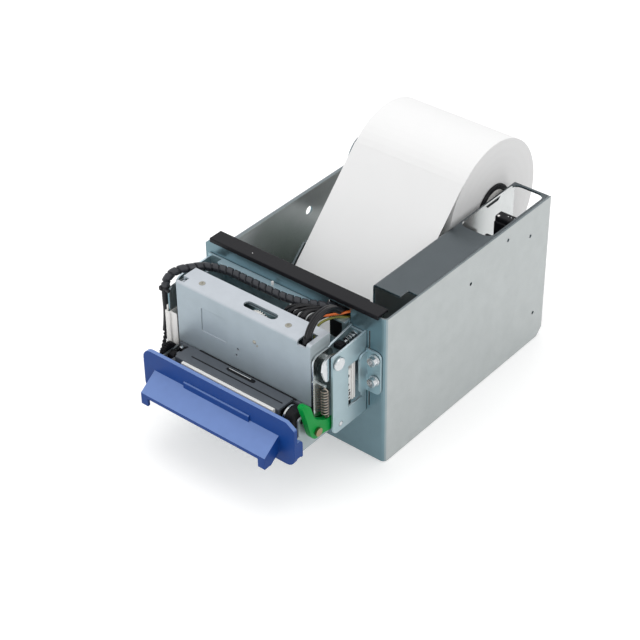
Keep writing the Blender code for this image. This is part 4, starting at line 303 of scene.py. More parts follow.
class PRINTER_OT_finishes(Operator):
    """Make the finishes and give one to each CAD node"""

    bl_idname = "printer.finishes"
    bl_label = "Finishes"

    def execute(self, context):
        c = context.scene.printer_colours
        # Electro-galvanised sheet: a grey mirror dulled by its passivation, so it shows soft reflections.
        # Painted reflection: the darker, cooler front tone and the darker top tone #7D868A.
        sheet_finish("galvanised", c.zinc, c.zinc_front_painted_reflection, linear("#7D868A"), 0.8, 0.3)
        # The channel beside the roll is the same sheet unbrushed: its top carries a painted dark reflection,
        # #5C6367, its front the painted front reflection, and its inside is pale.
        sheet_finish("mirror_zinc", linear("#CDD0D0"), c.zinc_front_painted_reflection, linear("#5C6367"), 0.9, 0.24)
        # The same zinc on the module's frame and bracket, newer and bluer; its pale top tone #D6E6EE is a
        # painted highlight, and its front tone is painted light too.
        sheet_finish("plated", linear("#A9BDC3"), linear("#A6C0C8"), linear("#D6E6EE"), 0.7, 0.34)
        # The cover's zinc is satin: even, pale and hardly reflecting; its lighter top tone #C0C6CD is a
        # painted highlight.
        sheet_finish("cover_steel", linear("#A9B4B8"), c.cover, linear("#C0C6CD"), 0.42, 0.42)
        # Polished arm of the front unit: dark where it mirrors the module, bright at its edges; its lighter
        # top tone #D5D9DA is a painted highlight.
        sheet_finish("arm_steel", linear("#C4C8C6"), linear("#B9C2C6"), linear("#D5D9DA"), 1.0, 0.22)
        # Nickel-plated screws, pins and axles: small bright highlights beside black.
        plated_finish("bright_steel", linear("#CFD2D4"), 0.17)
        # Brass pivot screw: warm, with turning marks round its axis.
        plated_finish("brass", linear("#9A8668"), 0.28, stretch=(3, 1, 1))
        # Extruded aluminium of the thermal head: drawn along its length.
        plated_finish("aluminium", linear("#BFC3C6"), 0.36, stretch=(0.05, 1, 1))
        # ABS from an eroded mould: black with a grey sheen towards the light.
        moulded_finish("black_plastic", c.black, 0.46, 0.5, 0.006, 0.06, Specular_IOR_Level=0.2)
        # Glass-filled polycarbonate: mid grey, with the flecks of its filler.
        moulded_finish("grey_plastic", c.grey, 0.42, 0.45, 0.005, 0.05, Specular_IOR_Level=0.35)
        # Acetal: white, waxy and smooth.
        moulded_finish("white_plastic", c.white, 0.34, 0.8, 0.002, 0.015)
        # Blue ABS with a fine satin mould; its top faces carry a painted pale sheen, #738DC5.
        moulded_finish("blue_plastic", c.bezel, 0.4, 0.4, 0.003, 0.03, linear("#738DC5"),
                       Specular_IOR_Level=0.2)
        # Green acetal, glossier than the bezel.
        moulded_finish("green_plastic", c.lever, 0.36, 0.6, 0.002, 0.03, Specular_IOR_Level=0.15)
        # Nitrile rubber: dull, with a bloom in patches.
        moulded_finish("rubber", linear("#141519"), 0.62, 0.35, 0.012, 0.12, Specular_IOR_Level=0.25)
        paper_finish("paper", c.paper)
        board_finish("board")
        # Polyethylene spiral wrap: charcoal with a soft sheen on each turn.
        moulded_finish("wrap_polyethylene", linear("#2C2E34"), 0.3, 0.7, 0.003, 0.08)
        # PVC insulation: glossy, so each wire carries one thin highlight.
        moulded_finish("wire_black", linear("#131317"), 0.3, 0.6, 0.002, 0.05, Specular_IOR_Level=0.35)
        moulded_finish("wire_orange", linear("#DC6A26"), 0.32, 0.6, 0.002, 0.03)
        moulded_finish("wire_olive", linear("#7C7C32"), 0.34, 0.6, 0.002, 0.03)
        # Heat-shrink sleeve: matt black polyolefin.
        moulded_finish("heat_shrink", linear("#17171B"), 0.42, 0.5, 0.004, 0.05, Specular_IOR_Level=0.3)
        # Hard-drawn spring wire: grey-brown from its lubricant.
        plated_finish("spring_wire", linear("#A39A90"), 0.34)
        # Plated rivets with a warm chromate.
        plated_finish("chromate", linear("#A9A79D"), 0.3)

        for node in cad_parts.values():
            for slot in node.material_slots:
                slot.material = FINISHES[slot.name.split(".")[0]]
        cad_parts["side_channel"].material_slots[0].material = FINISHES["mirror_zinc"]
        return {"FINISHED"}


# Shapes.

PATH_STEP = 0.5  # millimetres between the points of a smoothed path


def smooth_path(points, step=mm(PATH_STEP)):
    """A curve through the points, sampled about every step."""
    path = []
    ends = [points[0] * 2 - points[1], *points, points[-1] * 2 - points[-2]]
    for a, b, c, d in zip(ends, ends[1:], ends[2:], ends[3:]):
        count = max(2, round((c - b).length / step))
        for i in range(count):
            t = i / count
            path.append(0.5 * (2 * b + (c - a) * t + (2 * a - 5 * b + 4 * c - d) * t * t
                               + (3 * b - a - 3 * c + d) * t ** 3))
    return [*path, points[-1]]


def headings(path):
    """For each point of a path two directions across it, which turn as little as they can."""
    final = len(path) - 1
    directions = [(path[min(i + 1, final)] - path[max(i - 1, 0)]).normalized() for i in range(len(path))]
    across, result = directions[0].orthogonal().normalized(), []
    for last, direction in zip([directions[0], *directions], directions):
        across = (last.rotation_difference(direction) @ across).normalized()
        result.append((across, direction.cross(across)))
    return result


def around(centre, radius, angle, across, up):
    """The point at that angle of a circle round a centre, in the plane of the two directions."""
    return centre + radius * (math.cos(angle) * across + math.sin(angle) * up)


def wall(bm, low, high):
    """Faces between two rings of vertices."""
    for i, j in zip(range(len(low)), [*range(1, len(low)), 0]):
        bm.faces.new((low[i], low[j], high[j], high[i]))


def skin(bm, rings):
    """Joins rings of points, all of one count, into a tube that is closed at both ends."""
    loops = [[bm.verts.new(p) for p in ring] for ring in rings]
    for low, high in zip(loops, loops[1:]):
        wall(bm, low, high)
    bm.faces.new(reversed(loops[0]))
    bm.faces.new(loops[-1])


def sweep(bm, path, radius, sides=14):
    """A round section along a path. The radius is a number, or a function of the distance and the angle."""
    travelled, rings = 0.0, []
    for i, (point, ways) in enumerate(zip(path, headings(path))):
        travelled += (point - path[i - 1]).length if i else 0.0
        ring = []
        for k in range(sides):
            angle = 2 * math.pi * k / sides
            size = radius(travelled, angle) if callable(radius) else radius
            ring.append(around(point, size, angle, *ways))
        rings.append(ring)
    skin(bm, rings)


def turned(bm, start, axis, profile, sides=32):
    """A body turned about an axis. Each pair of the profile is millimetres along it, and a radius in them."""
    axis = Vector(axis).normalized()
    across = axis.orthogonal().normalized()
    up = axis.cross(across)
    skin(bm, [[around(start + mm(along) * axis, mm(radius), 2 * math.pi * k / sides, across, up)
               for k in range(sides)] for along, radius in profile])


def prism(bm, outline, along, rounding):
    """A flat outline carried along a vector, with its edges rounded by that many millimetres."""
    part = bmesh.new()
    low = [part.verts.new(p) for p in outline]
    high = [part.verts.new(p + along) for p in outline]
    part.faces.new(reversed(low))
    part.faces.new(high)
    wall(part, low, high)
    bmesh.ops.bevel(part, geom=part.edges[:], offset=mm(rounding), segments=2, affect="EDGES", profile=0.5)
    mesh = bpy.data.meshes.new("part")
    part.to_mesh(mesh)
    part.free()
    bm.from_mesh(mesh)
    bpy.data.meshes.remove(mesh)


def block(bm, low, high, rounding=0.3):
    """A moulded block between two corners in millimetres, its edges rounded."""
    (x0, y0, z0), (x1, y1, z1) = low, high
    outline = [at(x0, y0, z0), at(x1, y0, z0), at(x1, y1, z0), at(x0, y1, z0)]
    prism(bm, outline, Vector((0, 0, mm(z1 - z0))), rounding)


def make_piece(name, bm, finish, body=None, replaces=()):
    """Makes an object of a mesh, with its finish, body, and the nodes it stands for."""
    bmesh.ops.recalc_face_normals(bm, faces=bm.faces[:])
    for face in bm.faces:
        face.smooth = True
    for edge in bm.edges:
        edge.smooth = not edge.is_manifold or edge.calc_face_angle(0) < CREASE
    mesh = bpy.data.meshes.new(name)
    bm.to_mesh(mesh)
    bm.free()
    mesh.materials.append(FINISHES[finish])
    obj = bpy.data.objects.new(name, mesh)
    bpy.context.scene.collection.objects.link(obj)
    if body:
        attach(obj, body)
    if replaces:
        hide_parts(*replaces)
    return obj


# Wiring. Routes are in millimetres, as at() takes them.

WRAP_ROUTE = (
    (1.6, -36.3, 87.0), (1.6, -36.0, 88.8), (1.7, -34.6, 90.8), (2.4, -31.6, 93.0), (4.4, -28.8, 94.4),
    (6.6, -26.0, 95.1), (8.6, -22.8, 94.8), (10.4, -18.8, 94.2), (14.0, -14.6, 93.6), (20.0, -11.3, 93.1),
    (27.0, -9.7, 93.0), (38.0, -9.6, 93.0), (50.0, -9.6, 93.0), (64.0, -9.5, 93.1), (74.0, -8.8, 93.7),
    (82.0, -7.5, 94.3), (88.0, -5.0, 94.7), (93.0, -2.2, 94.4), (96.5, 3.0, 93.4), (97.5, 9.0, 91.5),
    (97.5, 15.0, 88.0))
BRANCH_ROUTE = (
    (102.2, 13.0, 88.0), (102.6, 6.5, 91.3), (102.9, 1.2, 93.4), (103.4, -4.0, 97.2), (104.1, -11.0, 103.2),
    (104.5, -18.0, 106.0), (104.5, -25.0, 105.4), (104.5, -30.6, 101.4), (104.3, -33.8, 95.0),
    (104.2, -34.5, 90.0), (104.2, -34.6, 86.8))
LEAD_ROUTE = (
    (1.0, -36.3, 86.6), (0.9, -36.4, 80.0), (1.0, -36.3, 70.5), (1.1, -37.1, 62.0), (1.3, -39.0, 53.0),
    (2.0, -42.0, 47.0), (3.4, -46.0, 42.5), (4.8, -50.0, 40.0))
# Each stop of the fan: the place of its first wire, and how far the last one lies to its right.
FAN_ROUTE = (
    ((92.6, 5.0, 90.4), 4.0), ((91.6, 0.0, 92.8), 5.0), ((86.0, -7.0, 94.2), 9.5),
    ((80.6, -12.6, 95.3), 14.0), ((77.0, -17.4, 94.6), 18.2), ((76.2, -19.6, 90.0), 19.0),
    ((76.0, -20.0, 83.0), 19.2), ((76.0, -20.0, 76.0), 19.2))
FAN_SEED = 7
# The loose leads beside the fan: name, finish, radius and route.
LOOSE_LEADS = (
    ("wire_orange_lead", "wire_orange", 0.75, (
        (106.2, 5.0, 94.0), (106.4, 0.0, 95.6), (104.1, -4.4, 95.7), (100.0, -7.0, 94.5),
        (95.4, -12.3, 93.8), (91.6, -17.0, 93.0), (90.4, -19.0, 90.0), (90.2, -19.4, 84.0))),
    ("wire_olive_lead", "wire_olive", 0.75, (
        (105.2, 5.0, 89.6), (105.3, 0.2, 91.2), (102.6, -3.6, 92.4), (99.4, -9.0, 92.6),
        (97.4, -15.0, 91.4), (97.0, -18.6, 87.0), (97.0, -19.2, 80.0))),
    ("wire_dark_lead", "wire_black", 0.9, (
        (103.6, 5.0, 91.8), (103.6, 0.2, 93.6), (100.4, -4.4, 93.8), (97.0, -10.4, 93.6),
        (95.2, -16.4, 92.0), (95.0, -19.4, 86.0), (95.0, -20.0, 80.0))))
# Each strand of the branch: its angle at the start, its reach from the middle and its radius.
BRANCH_STRANDS = ((0.5, 1.15, 1.15), (2.5, 1.1, 1.05), (4.6, 1.15, 1.1), (5.6, 1.5, 0.6))
BRANCH_TWIST = 0.9  # radians that the strands turn from end to end
TAPED_FROM = 0.86  # the share of the branch that lies before its tape
BAND_SHARE = 0.82  # the share of a turn of the wrap that its band covers
SLEEVE_END = 56.0  # the height at which the left lead's sleeve ends
LEAD_TWIST = 4.6  # the length of one turn of the twisted pair


class PRINTER_OT_spiral_wrap(Operator):
    """Wind the spiral wrap round the main harness, with the tie at its end"""

    bl_idname = "printer.spiral_wrap"
    bl_label = "Spiral wrap"

    def execute(self, context):
        sizes = context.scene.printer_harness

        def turns(travelled, angle):
            # Each turn is a flat band with rounded edges; the gap after it shows the wires.
            phase = (travelled / sizes.wrap_pitch - angle / (2 * math.pi)) % 1
            across = abs(2 * phase / BAND_SHARE - 1)
            return sizes.wrap_radius - mm(0.85 if across > 1 else 0.16 * across ** 8)

        bm = bmesh.new()
        sweep(bm, smooth_path([at(*p) for p in WRAP_ROUTE], mm(0.35)), turns, 36)
        make_piece("spiral_wrap", bm, "wrap_polyethylene", "chassis", ["harness_conduit"])

        tie = bmesh.new()
        knot, down = at(1.7, -36.3, 86.2), Vector((0, 0, -1))
        turned(tie, knot, down, ((-1.1, 1.8), (-1.1, 2.5), (-0.8, 2.65), (0.8, 2.65), (1.1, 2.5), (1.1, 1.8)))
        block(tie, (3.4, -38.8, 84.6), (6.2, -36.9, 86.4), 0.4)
        block(tie, (-0.9, -39.6, 84.4), (1.4, -36.6, 87.2), 0.5)
        make_piece("wrap_tie", tie, "heat_shrink", "chassis")
        return {"FINISHED"}


class PRINTER_OT_right_branch(Operator):
    """Lay the branch of wires that arches over the module, with its tape and tie"""

    bl_idname = "printer.right_branch"
    bl_label = "Right branch"

    def execute(self, context):
        path = smooth_path([at(*p) for p in BRANCH_ROUTE])
        ways, bm = headings(path), bmesh.new()
        for start, reach, radius in BRANCH_STRANDS:
            strand = [around(path[i], mm(reach), start + BRANCH_TWIST * i / len(path), *ways[i])
                      for i in range(len(path))]
            sweep(bm, strand, mm(radius), 12)
        make_piece("branch_wires", bm, "wire_black", "chassis", ["right_branch"])

        def wrinkled(travelled, angle):
            return mm(2.35 + 0.12 * math.sin(3 * angle + travelled * 2500))

        tape = bmesh.new()
        sweep(tape, path[int(len(path) * TAPED_FROM):], wrinkled, 24)
        block(tape, (101.0, -38.0, 90.4), (103.4, -36.0, 92.6), 0.4)
        make_piece("branch_tape", tape, "heat_shrink", "chassis")
        return {"FINISHED"}


class PRINTER_OT_fan_wires(Operator):
    """Fan the wires out from the wrap into the print module, with the coloured ones beside them"""

    bl_idname = "printer.fan_wires"
    bl_label = "Fan of wires"

    def execute(self, context):
        sizes = context.scene.printer_harness
        chance, bm = random.Random(FAN_SEED), bmesh.new()
        for i in range(sizes.fan_wires):
            share = i / (sizes.fan_wires - 1)
            route = []
            for k, ((x, y, z), width) in enumerate(FAN_ROUTE):
                # Between its two ends the fan is loose, so each wire rises or sinks by its own amount.
                lift = 0.8 * math.sin(3.7 * i) if 0 < k < 5 else 0
                across = x + share * width + chance.uniform(-0.3, 0.3)
                route.append(at(across, y, z + lift + chance.uniform(-0.2, 0.2)))
            sweep(bm, smooth_path(route), sizes.wire_radius * chance.uniform(0.95, 1.2), 10)
        make_piece("fan_of_wires", bm, "wire_black", "chassis", ["flat_cable"])

        for name, finish, radius, route in LOOSE_LEADS:
            lead = bmesh.new()
            sweep(lead, smooth_path([at(*p) for p in route]), mm(radius), 12)
            make_piece(name, lead, finish, "chassis")

        # The wires come through a rubber sheet that closes the notch behind the panel.
        seal = bmesh.new()
        block(seal, (91.2, 1.3, 62.0), (107.2, 2.5, 97.3), 0.3)
        make_piece("cable_seal", seal, "rubber", "chassis")
        return {"FINISHED"}


class PRINTER_OT_left_lead(Operator):
    """Twist the pair of wires that hangs from the sleeve to the front unit"""

    bl_idname = "printer.left_lead"
    bl_label = "Left lead"

    def execute(self, context):
        path = smooth_path([at(*p) for p in LEAD_ROUTE])
        ways, bm = headings(path), bmesh.new()
        sleeve_end = next(i for i, p in enumerate(path) if p.z < mm(SLEEVE_END))
        sweep(bm, path[:sleeve_end], lambda travelled, angle: mm(1.95 if travelled > mm(1) else 1.7), 20)
        for side in (0, math.pi):
            strand = [around(path[i], mm(0.62), side + i * PATH_STEP / LEAD_TWIST * 2 * math.pi, *ways[i])
                      for i in range(sleeve_end - 4, len(path))]
            sweep(bm, strand, mm(0.7), 10)
        lead = make_piece("left_lead_pair", bm, "heat_shrink",
                          replaces=["left_lead", "harness_sleeve"])
        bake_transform(lead)
        return {"FINISHED"}


# Mechanism.


class PRINTER_OT_release_spring(Operator):
    """Coil the lever's return spring, with a hook at each end"""

    bl_idname = "printer.release_spring"
    bl_label = "Release spring"

    def execute(self, context):
        x, y, low, high, radius = 114.7, -31.7, 47.2, 64.2, 2.1
        turns, steps = 9, 18
        coil = []
        for i in range(turns * steps + 1):
            angle = 2 * math.pi * i / steps
            coil.append(at(x + radius * math.cos(angle), y + radius * math.sin(angle),
                           low + (high - low) * i / (turns * steps)))
        foot = [at(x + radius, y, low - 0.2), at(x + 1.2, y, low - 1.3), at(x, y, low - 1.8)]
        hook = [at(x + 1.4, y - 0.3, high + 1.0), at(x + 0.2, y - 0.5, high + 1.9),
                at(x - 0.9, y - 0.6, high + 3.0), at(x - 0.3, y - 0.6, high + 3.3)]
        bm = bmesh.new()
        sweep(bm, [*reversed(foot), *coil, *hook], mm(0.42), 8)
        spring = make_piece("coil_spring", bm, "spring_wire", replaces=["release_spring"])
        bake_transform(spring)
        return {"FINISHED"}


# The lever's side as a ring of points: millimetres behind the panel, and up from the floor.
LEVER_SIDE = (
    (-52.9, 64.6), (-51.8, 65.9), (-48.7, 64.9), (-46.1, 61.9), (-44.6, 57.6), (-43.4, 54.0), (-41.4, 50.2),
    (-38.8, 49.0), (-35.9, 46.8), (-31.4, 44.9), (-27.4, 44.4), (-26.9, 40.4), (-27.2, 36.1), (-31.0, 36.4),
    (-34.7, 37.2), (-38.4, 37.4), (-42.0, 37.2), (-44.4, 39.0), (-46.2, 42.6), (-47.6, 47.4), (-49.6, 55.0),
    (-51.6, 61.2))
LEVER_LEFT = 112.6
LEVER_THICKNESS = 3.8


class PRINTER_OT_release_lever(Operator):
    """Mould the release lever, with its rounded finger end"""

    bl_idname = "printer.release_lever"
    bl_label = "Release lever"

    def execute(self, context):
        side = [at(LEVER_LEFT, y, z) for y, z in LEVER_SIDE]
        bm = bmesh.new()
        prism(bm, smooth_path([*side, side[0]], mm(1.3))[:-1], Vector((mm(LEVER_THICKNESS), 0, 0)), 0.45)
        make_piece("lever_moulding", bm, "green_plastic", "lever", ["release_lever"])
        return {"FINISHED"}


class PRINTER_OT_arm_guard(Operator):
    """Fold the white guard round the front edge of the left arm"""

    bl_idname = "printer.arm_guard"
    bl_label = "Arm guard"

    def execute(self, context):
        bm = bmesh.new()
        foot, height = 40.2, 32.4
        fold = ((3.4, -31.6), (3.4, -39.9), (6.8, -39.9), (6.8, -31.4), (6.42, -31.4), (6.42, -39.45),
                (4.7, -39.45), (4.7, -31.6))
        prism(bm, [at(x, y, foot) for x, y in fold], Vector((0, 0, mm(height))), 0.12)
        block(bm, (3.4, -38.5, 72.5), (4.7, -31.6, 75.5), 0.3)
        block(bm, (6.5, -38.9, 44.0), (11.5, -38.45, 72.6), 0.12)
        make_piece("guard_fold", bm, "white_plastic", "front_unit", ["side_guard"])
        return {"FINISHED"}


class PRINTER_OT_paper_switch(Operator):
    """Fit the small switch that shows through the window of the right bracket"""

    bl_idname = "printer.paper_switch"
    bl_label = "Switch in the bracket"

    def execute(self, context):
        body = bmesh.new()
        block(body, (112.2, -15.9, 47.0), (117.1, -11.7, 68.6), 0.35)
        block(body, (112.2, -11.3, 46.2), (117.3, -9.9, 71.4), 0.3)
        block(body, (112.2, -9.5, 46.2), (117.2, -8.2, 71.4), 0.3)
        make_piece("switch_body", body, "white_plastic", "chassis")

        # Black pieces: the discs in the switch's recesses and the plate behind the switch, which fills the
        # window, are painted shade; the three bars stand as its terminals.
        dark = bmesh.new()
        for y, z, radius in ((-14.4, 64.4, 1.05), (-14.4, 58.4, 0.8), (-13.2, 52.2, 0.7)):
            turned(dark, at(117.05, y, z), (1, 0, 0), (
                (-0.3, radius), (0.1, radius), (0.16, radius * 0.9)), 20)
        for z in (48.4, 50.6, 53.8):
            block(dark, (114.0, -16.1, z), (117.25, -12.8, z + 0.8), 0.15)
        block(dark, (111.6, -16.0, 45.0), (112.4, -4.6, 72.8), 0.15)
        make_piece("switch_terminals_and_painted_shade", dark, "black_plastic", "chassis")
        return {"FINISHED"}


class PRINTER_OT_circuit_board(Operator):
    """Populate the control board: headers, a processor, capacitors and small parts"""

    bl_idname = "printer.circuit_board"
    bl_label = "Control board"

    def execute(self, context):
        left, right, front, back = 30, 96, 72, 148
        bottom, thickness, top, corner = 7.0, 1.6, 8.6, 1.8
        rim = []
        for x, y, start in ((right - corner, back - corner, 0), (left + corner, back - corner, 90),
                            (left + corner, front + corner, 180), (right - corner, front + corner, 270)):
            for turn in range(0, 91, 15):
                angle = math.radians(start + turn)
                rim.append(at(x + corner * math.cos(angle), y + corner * math.sin(angle), bottom))
        plate = bmesh.new()
        prism(plate, rim, Vector((0, 0, mm(thickness))), 0.1)
        make_piece("board_laminate", plate, "board", "chassis", ["control_board"])

        shells, pins = bmesh.new(), bmesh.new()
        for y in (85.8, 116.2):
            block(shells, (31.8, y, top), (37.3, y + 18.0, 11.2), 0.3)
            block(shells, (31.8, y, 11.0), (32.8, y + 18.0, 15.1), 0.25)
            block(shells, (36.3, y, 11.0), (37.3, y + 18.0, 15.1), 0.25)
            for end in (y, y + 17.0):
                block(shells, (31.8, end, 11.0), (37.3, end + 1.0, 15.1), 0.25)
            for row in range(7):
                block(pins, (34.2, y + 2.6 + 2.0 * row, 11.0), (34.9, y + 3.3 + 2.0 * row, 14.2), 0.1)
        make_piece("board_headers", shells, "white_plastic", "chassis")

        chips = bmesh.new()
        block(chips, (57.0, 104.0, top + 0.2), (69.0, 116.0, 10.4), 0.25)
        block(chips, (52.0, 84.0, top + 0.2), (60.0, 89.0, 10.2), 0.25)
        block(chips, (70.0, 131.0, top + 0.2), (76.0, 137.0, 10.6), 0.25)
        # The processor's pins come out on all four of its sides, and the driver's on two.
        for pin in range(13):
            along = 104.6 + 0.9 * pin
            block(pins, (56.0, along, top), (70.0, along + 0.4, top + 0.4), 0.05)
            block(pins, (along - 47.0, 103.0, top), (along - 46.6, 117.0, top + 0.4), 0.05)
        for pin in range(6):
            block(pins, (52.6 + 1.25 * pin, 83.0, top), (53.1 + 1.25 * pin, 90.0, top + 0.4), 0.05)
        for x, y in ((44, 92), (44, 97), (44, 102), (47, 124), (50, 124), (53, 124), (64, 96), (67, 96),
                     (76, 110), (76, 114), (60, 126), (63, 126), (80, 84), (83, 84), (90, 108), (90, 112),
                     (44, 138), (48, 138)):
            block(chips, (x, y, top), (x + 1.9, y + 1.1, top + 0.7), 0.12)
        make_piece("board_chips", chips, "black_plastic", "chassis")
        make_piece("board_pins", pins, "bright_steel", "chassis")

        cans = bmesh.new()
        for y in (94.8, 124.8):
            turned(cans, at(85.2, y, top), (0, 0, 1), (
                (0, 3.2), (0.4, 3.2), (0.9, 2.9), (1.4, 3.2), (8.4, 3.2), (8.8, 3.0), (8.8, 2.6), (8.6, 2.4)))
        make_piece("board_capacitors", cans, "aluminium", "chassis")
        return {"FINISHED"}


class PRINTER_OT_sensor_fittings(Operator):
    """Set the eye and the solder pins on the roll sensor"""

    bl_idname = "printer.sensor_fittings"
    bl_label = "Sensor fittings"

    def execute(self, context):
        eye = bmesh.new()
        turned(eye, at(118.4, 125.4, 99.0), (0, 0, 1), (
            (-0.3, 0.8), (0.2, 0.8), (0.32, 0.6), (0.36, 0.2)), 20)
        make_piece("sensor_eye", eye, "white_plastic", "chassis")
        pins = bmesh.new()
        for x in (123.4, 125.6, 127.8):
            turned(pins, at(x, 127.9, 99.0), (0, 0, 1), ((-0.3, 0.35), (0.25, 0.35), (0.55, 0.12)), 12)
        make_piece("sensor_pins", pins, "bright_steel", "chassis")
        return {"FINISHED"}


class PRINTER_OT_fasteners(Operator):
    """Add the screw heads, rivets and pins of the cover, frame and panel"""

    bl_idname = "printer.fasteners"
    bl_label = "Screws and rivets"

    def execute(self, context):
        heads = bmesh.new()
        for x in (25.4, 88.7):
            turned(heads, at(x, -30.9, 95.7), (0, 0, 1), (
                (-2.0, 1.0), (-0.1, 1.0), (-0.1, 1.95), (0.25, 1.9), (0.5, 1.5), (0.62, 0.9),
                (0.4, 0.62), (0.05, 0.5)))
        make_piece("cover_screw_heads", heads, "chromate", "chassis",
                   ["cover_screw_left", "cover_screw_right"])

        spots = bmesh.new()
        for x, z, radius in ((70.1, 80.0, 1.25), (72.1, 78.3, 0.65)):
            turned(spots, at(x, -38.45, z), (0, -1, 0), (
                (-0.5, radius), (0.1, radius), (0.35, radius * 0.8), (0.45, radius * 0.35),
                (0.3, radius * 0.1)))
        make_piece("cover_emboss", spots, "chromate", "chassis")

        pins = bmesh.new()
        turned(pins, at(52.9, -2.4, 91.4), (0, 0, 1), ((0, 0.85), (1.9, 0.85), (2.2, 0.7), (2.3, 0.3)))
        turned(pins, at(34.0, 2.6, 102.15), (0, 0, 1), ((0, 0.32), (0.1, 0.32), (0.16, 0.2)))
        make_piece("ledge_pins", pins, "white_plastic", "chassis")
        return {"FINISHED"}


class PRINTER_OT_bracket_fittings(Operator):
    """Fit the adjusting bolt, its nut and washers in the channel of the right bracket"""

    bl_idname = "printer.bracket_fittings"
    bl_label = "Bracket fittings"

    def execute(self, context):
        bm = bmesh.new()
        shank = at(112.6, -1.6, 84.4)
        turned(bm, shank, (0, -1, 0), ((0, 0.9), (10.2, 0.9), (10.4, 0.7)), 20)
        # A nut, two washers and the bolt's head: place along the shank, radius, thickness and sides.
        for start, radius, thick, sides in (
                (0.4, 3.0, 1.9, 6), (4.4, 2.7, 0.7, 28), (6.0, 2.5, 0.7, 28), (7.6, 2.9, 1.5, 6)):
            turned(bm, shank + Vector((0, mm(-start), 0)), (0, -1, 0), (
                (0, radius * 0.86), (0.15, radius), (thick - 0.15, radius), (thick, radius * 0.86)), sides)
        make_piece("bracket_bolt", bm, "bright_steel", "chassis")

        stop = bmesh.new()
        block(stop, (109.1, -17.0, 82.0), (114.1, -12.0, 85.0), 0.4)
        block(stop, (110.0, -16.2, 84.8), (113.2, -12.8, 85.5), 0.3)
        make_piece("stop_block", stop, "rubber", "chassis", ["bracket_stop"])
        return {"FINISHED"}


class PRINTER_OT_left_mechanism(Operator):
    """Build the small parts at the left end of the exit housing"""

    bl_idname = "printer.left_mechanism"
    bl_label = "Left mechanism"

    def execute(self, context):
        bearing = bmesh.new()
        outline = [at(12.6, -46.4 + 3.3 * math.cos(a), 49.0 + 3.3 * math.sin(a))
                   for a in [math.radians(d) for d in range(-20, 201, 20)]]
        prism(bearing, [*outline, at(12.6, -49.8, 43.0), at(12.6, -43.0, 43.0)], Vector((mm(4.4), 0, 0)), 0.4)
        make_piece("roller_bearing_left", bearing, "black_plastic", "front_unit")

        fork = bmesh.new()
        legs = [at(20.4, y, z) for y, z in (
            (-39.7, 43.7), (-39.7, 53.8), (-41.0, 55.2), (-45.4, 55.0), (-47.2, 53.6), (-46.6, 50.2),
            (-45.0, 47.6), (-43.8, 49.4), (-42.4, 49.8), (-41.7, 47.2), (-41.7, 43.7))]
        prism(fork, legs, Vector((mm(1.3), 0, 0)), 0.25)
        make_piece("paper_fork", fork, "black_plastic", "front_unit")

        peg = bmesh.new()
        turned(peg, at(16.2, -36.6, 52.0), (0, -1, 0), (
            (0, 1.3), (0.2, 1.6), (2.6, 1.6), (2.8, 1.25), (3.2, 1.25), (3.4, 1.6), (5.6, 1.6), (5.9, 1.2)))
        make_piece("pinch_roller", peg, "bright_steel", "front_unit")

        clip = bmesh.new()
        block(clip, (18.2, -48.4, 49.4), (20.2, -45.4, 53.6), 0.4)
        block(clip, (17.8, -52.6, 46.0), (20.6, -49.4, 51.4), 0.4)
        make_piece("strip_clip", clip, "grey_plastic", "front_unit")
        return {"FINISHED"}


class PRINTER_OT_housing_seals(Operator):
    """Lay the black strips in the top of the exit housing, partly seal and partly painted shade, with painted
    shade in its slot and a bright rod as the painted highlight of its ridge
    """

    bl_idname = "printer.housing_seals"
    bl_label = "Housing seals"

    def execute(self, context):
        # Black strips: the one in the groove is partly a seal and partly painted shade; the one before the
        # cover paints the shade of the gap between housing and cover.
        seals_and_shade = bmesh.new()
        block(seals_and_shade, (28.8, -46.85, 54.6), (96.4, -45.95, 55.2), 0.05)
        block(seals_and_shade, (28.6, -39.75, 54.6), (100.4, -38.75, 55.2), 0.05)
        make_piece("housing_seals", seals_and_shade, "rubber", "front_unit")

        # A black oval round the slot's ridge: painted shade in the slot's recess.
        slot_shade_mesh = bmesh.new()
        x, y, reach, radius = 62.3, -41.9, 8.9, 1.4
        outline = []
        for side, start in ((1, 0), (-1, 180)):
            for a in [math.radians(start + turn) for turn in range(0, 181, 20)]:
                outline.append(at(x + side * reach + radius * math.sin(a), y - radius * math.cos(a), 54.6))
        prism(slot_shade_mesh, outline, Vector((0, 0, mm(0.6))), 0.05)
        make_piece("painted_slot_shade", slot_shade_mesh, "rubber", "front_unit")

        # A bright steel rod along the slot: a painted highlight on the ridge's front edge.
        ridge_highlight_rod = bmesh.new()
        turned(ridge_highlight_rod, at(52.6, -41.2, 55.1), (1, 0, 0), ((0, 0.1), (0.3, 0.32), (16.4, 0.32), (16.7, 0.1)), 12)
        make_piece("ridge_painted_highlight", ridge_highlight_rod, "bright_steel", "front_unit")
        return {"FINISHED"}


# Stage.

# The camera stands where the photograph's did. Its axes point right, up and back from the picture.
CAMERA_PLACE = (610.2, -630.6, 684.9)
CAMERA_AXES = (
    (0.7730, 0.6343, -0.0095),
    (-0.3705, 0.4636, 0.8049),
    (0.5149, -0.6187, 0.5934))
FLOOR_GREY = (0.8, 0.8, 0.8, 1)
FLOOR_GLOW = 0.36  # what the camera and mirrors see on top of the lit floor, so that it comes out white


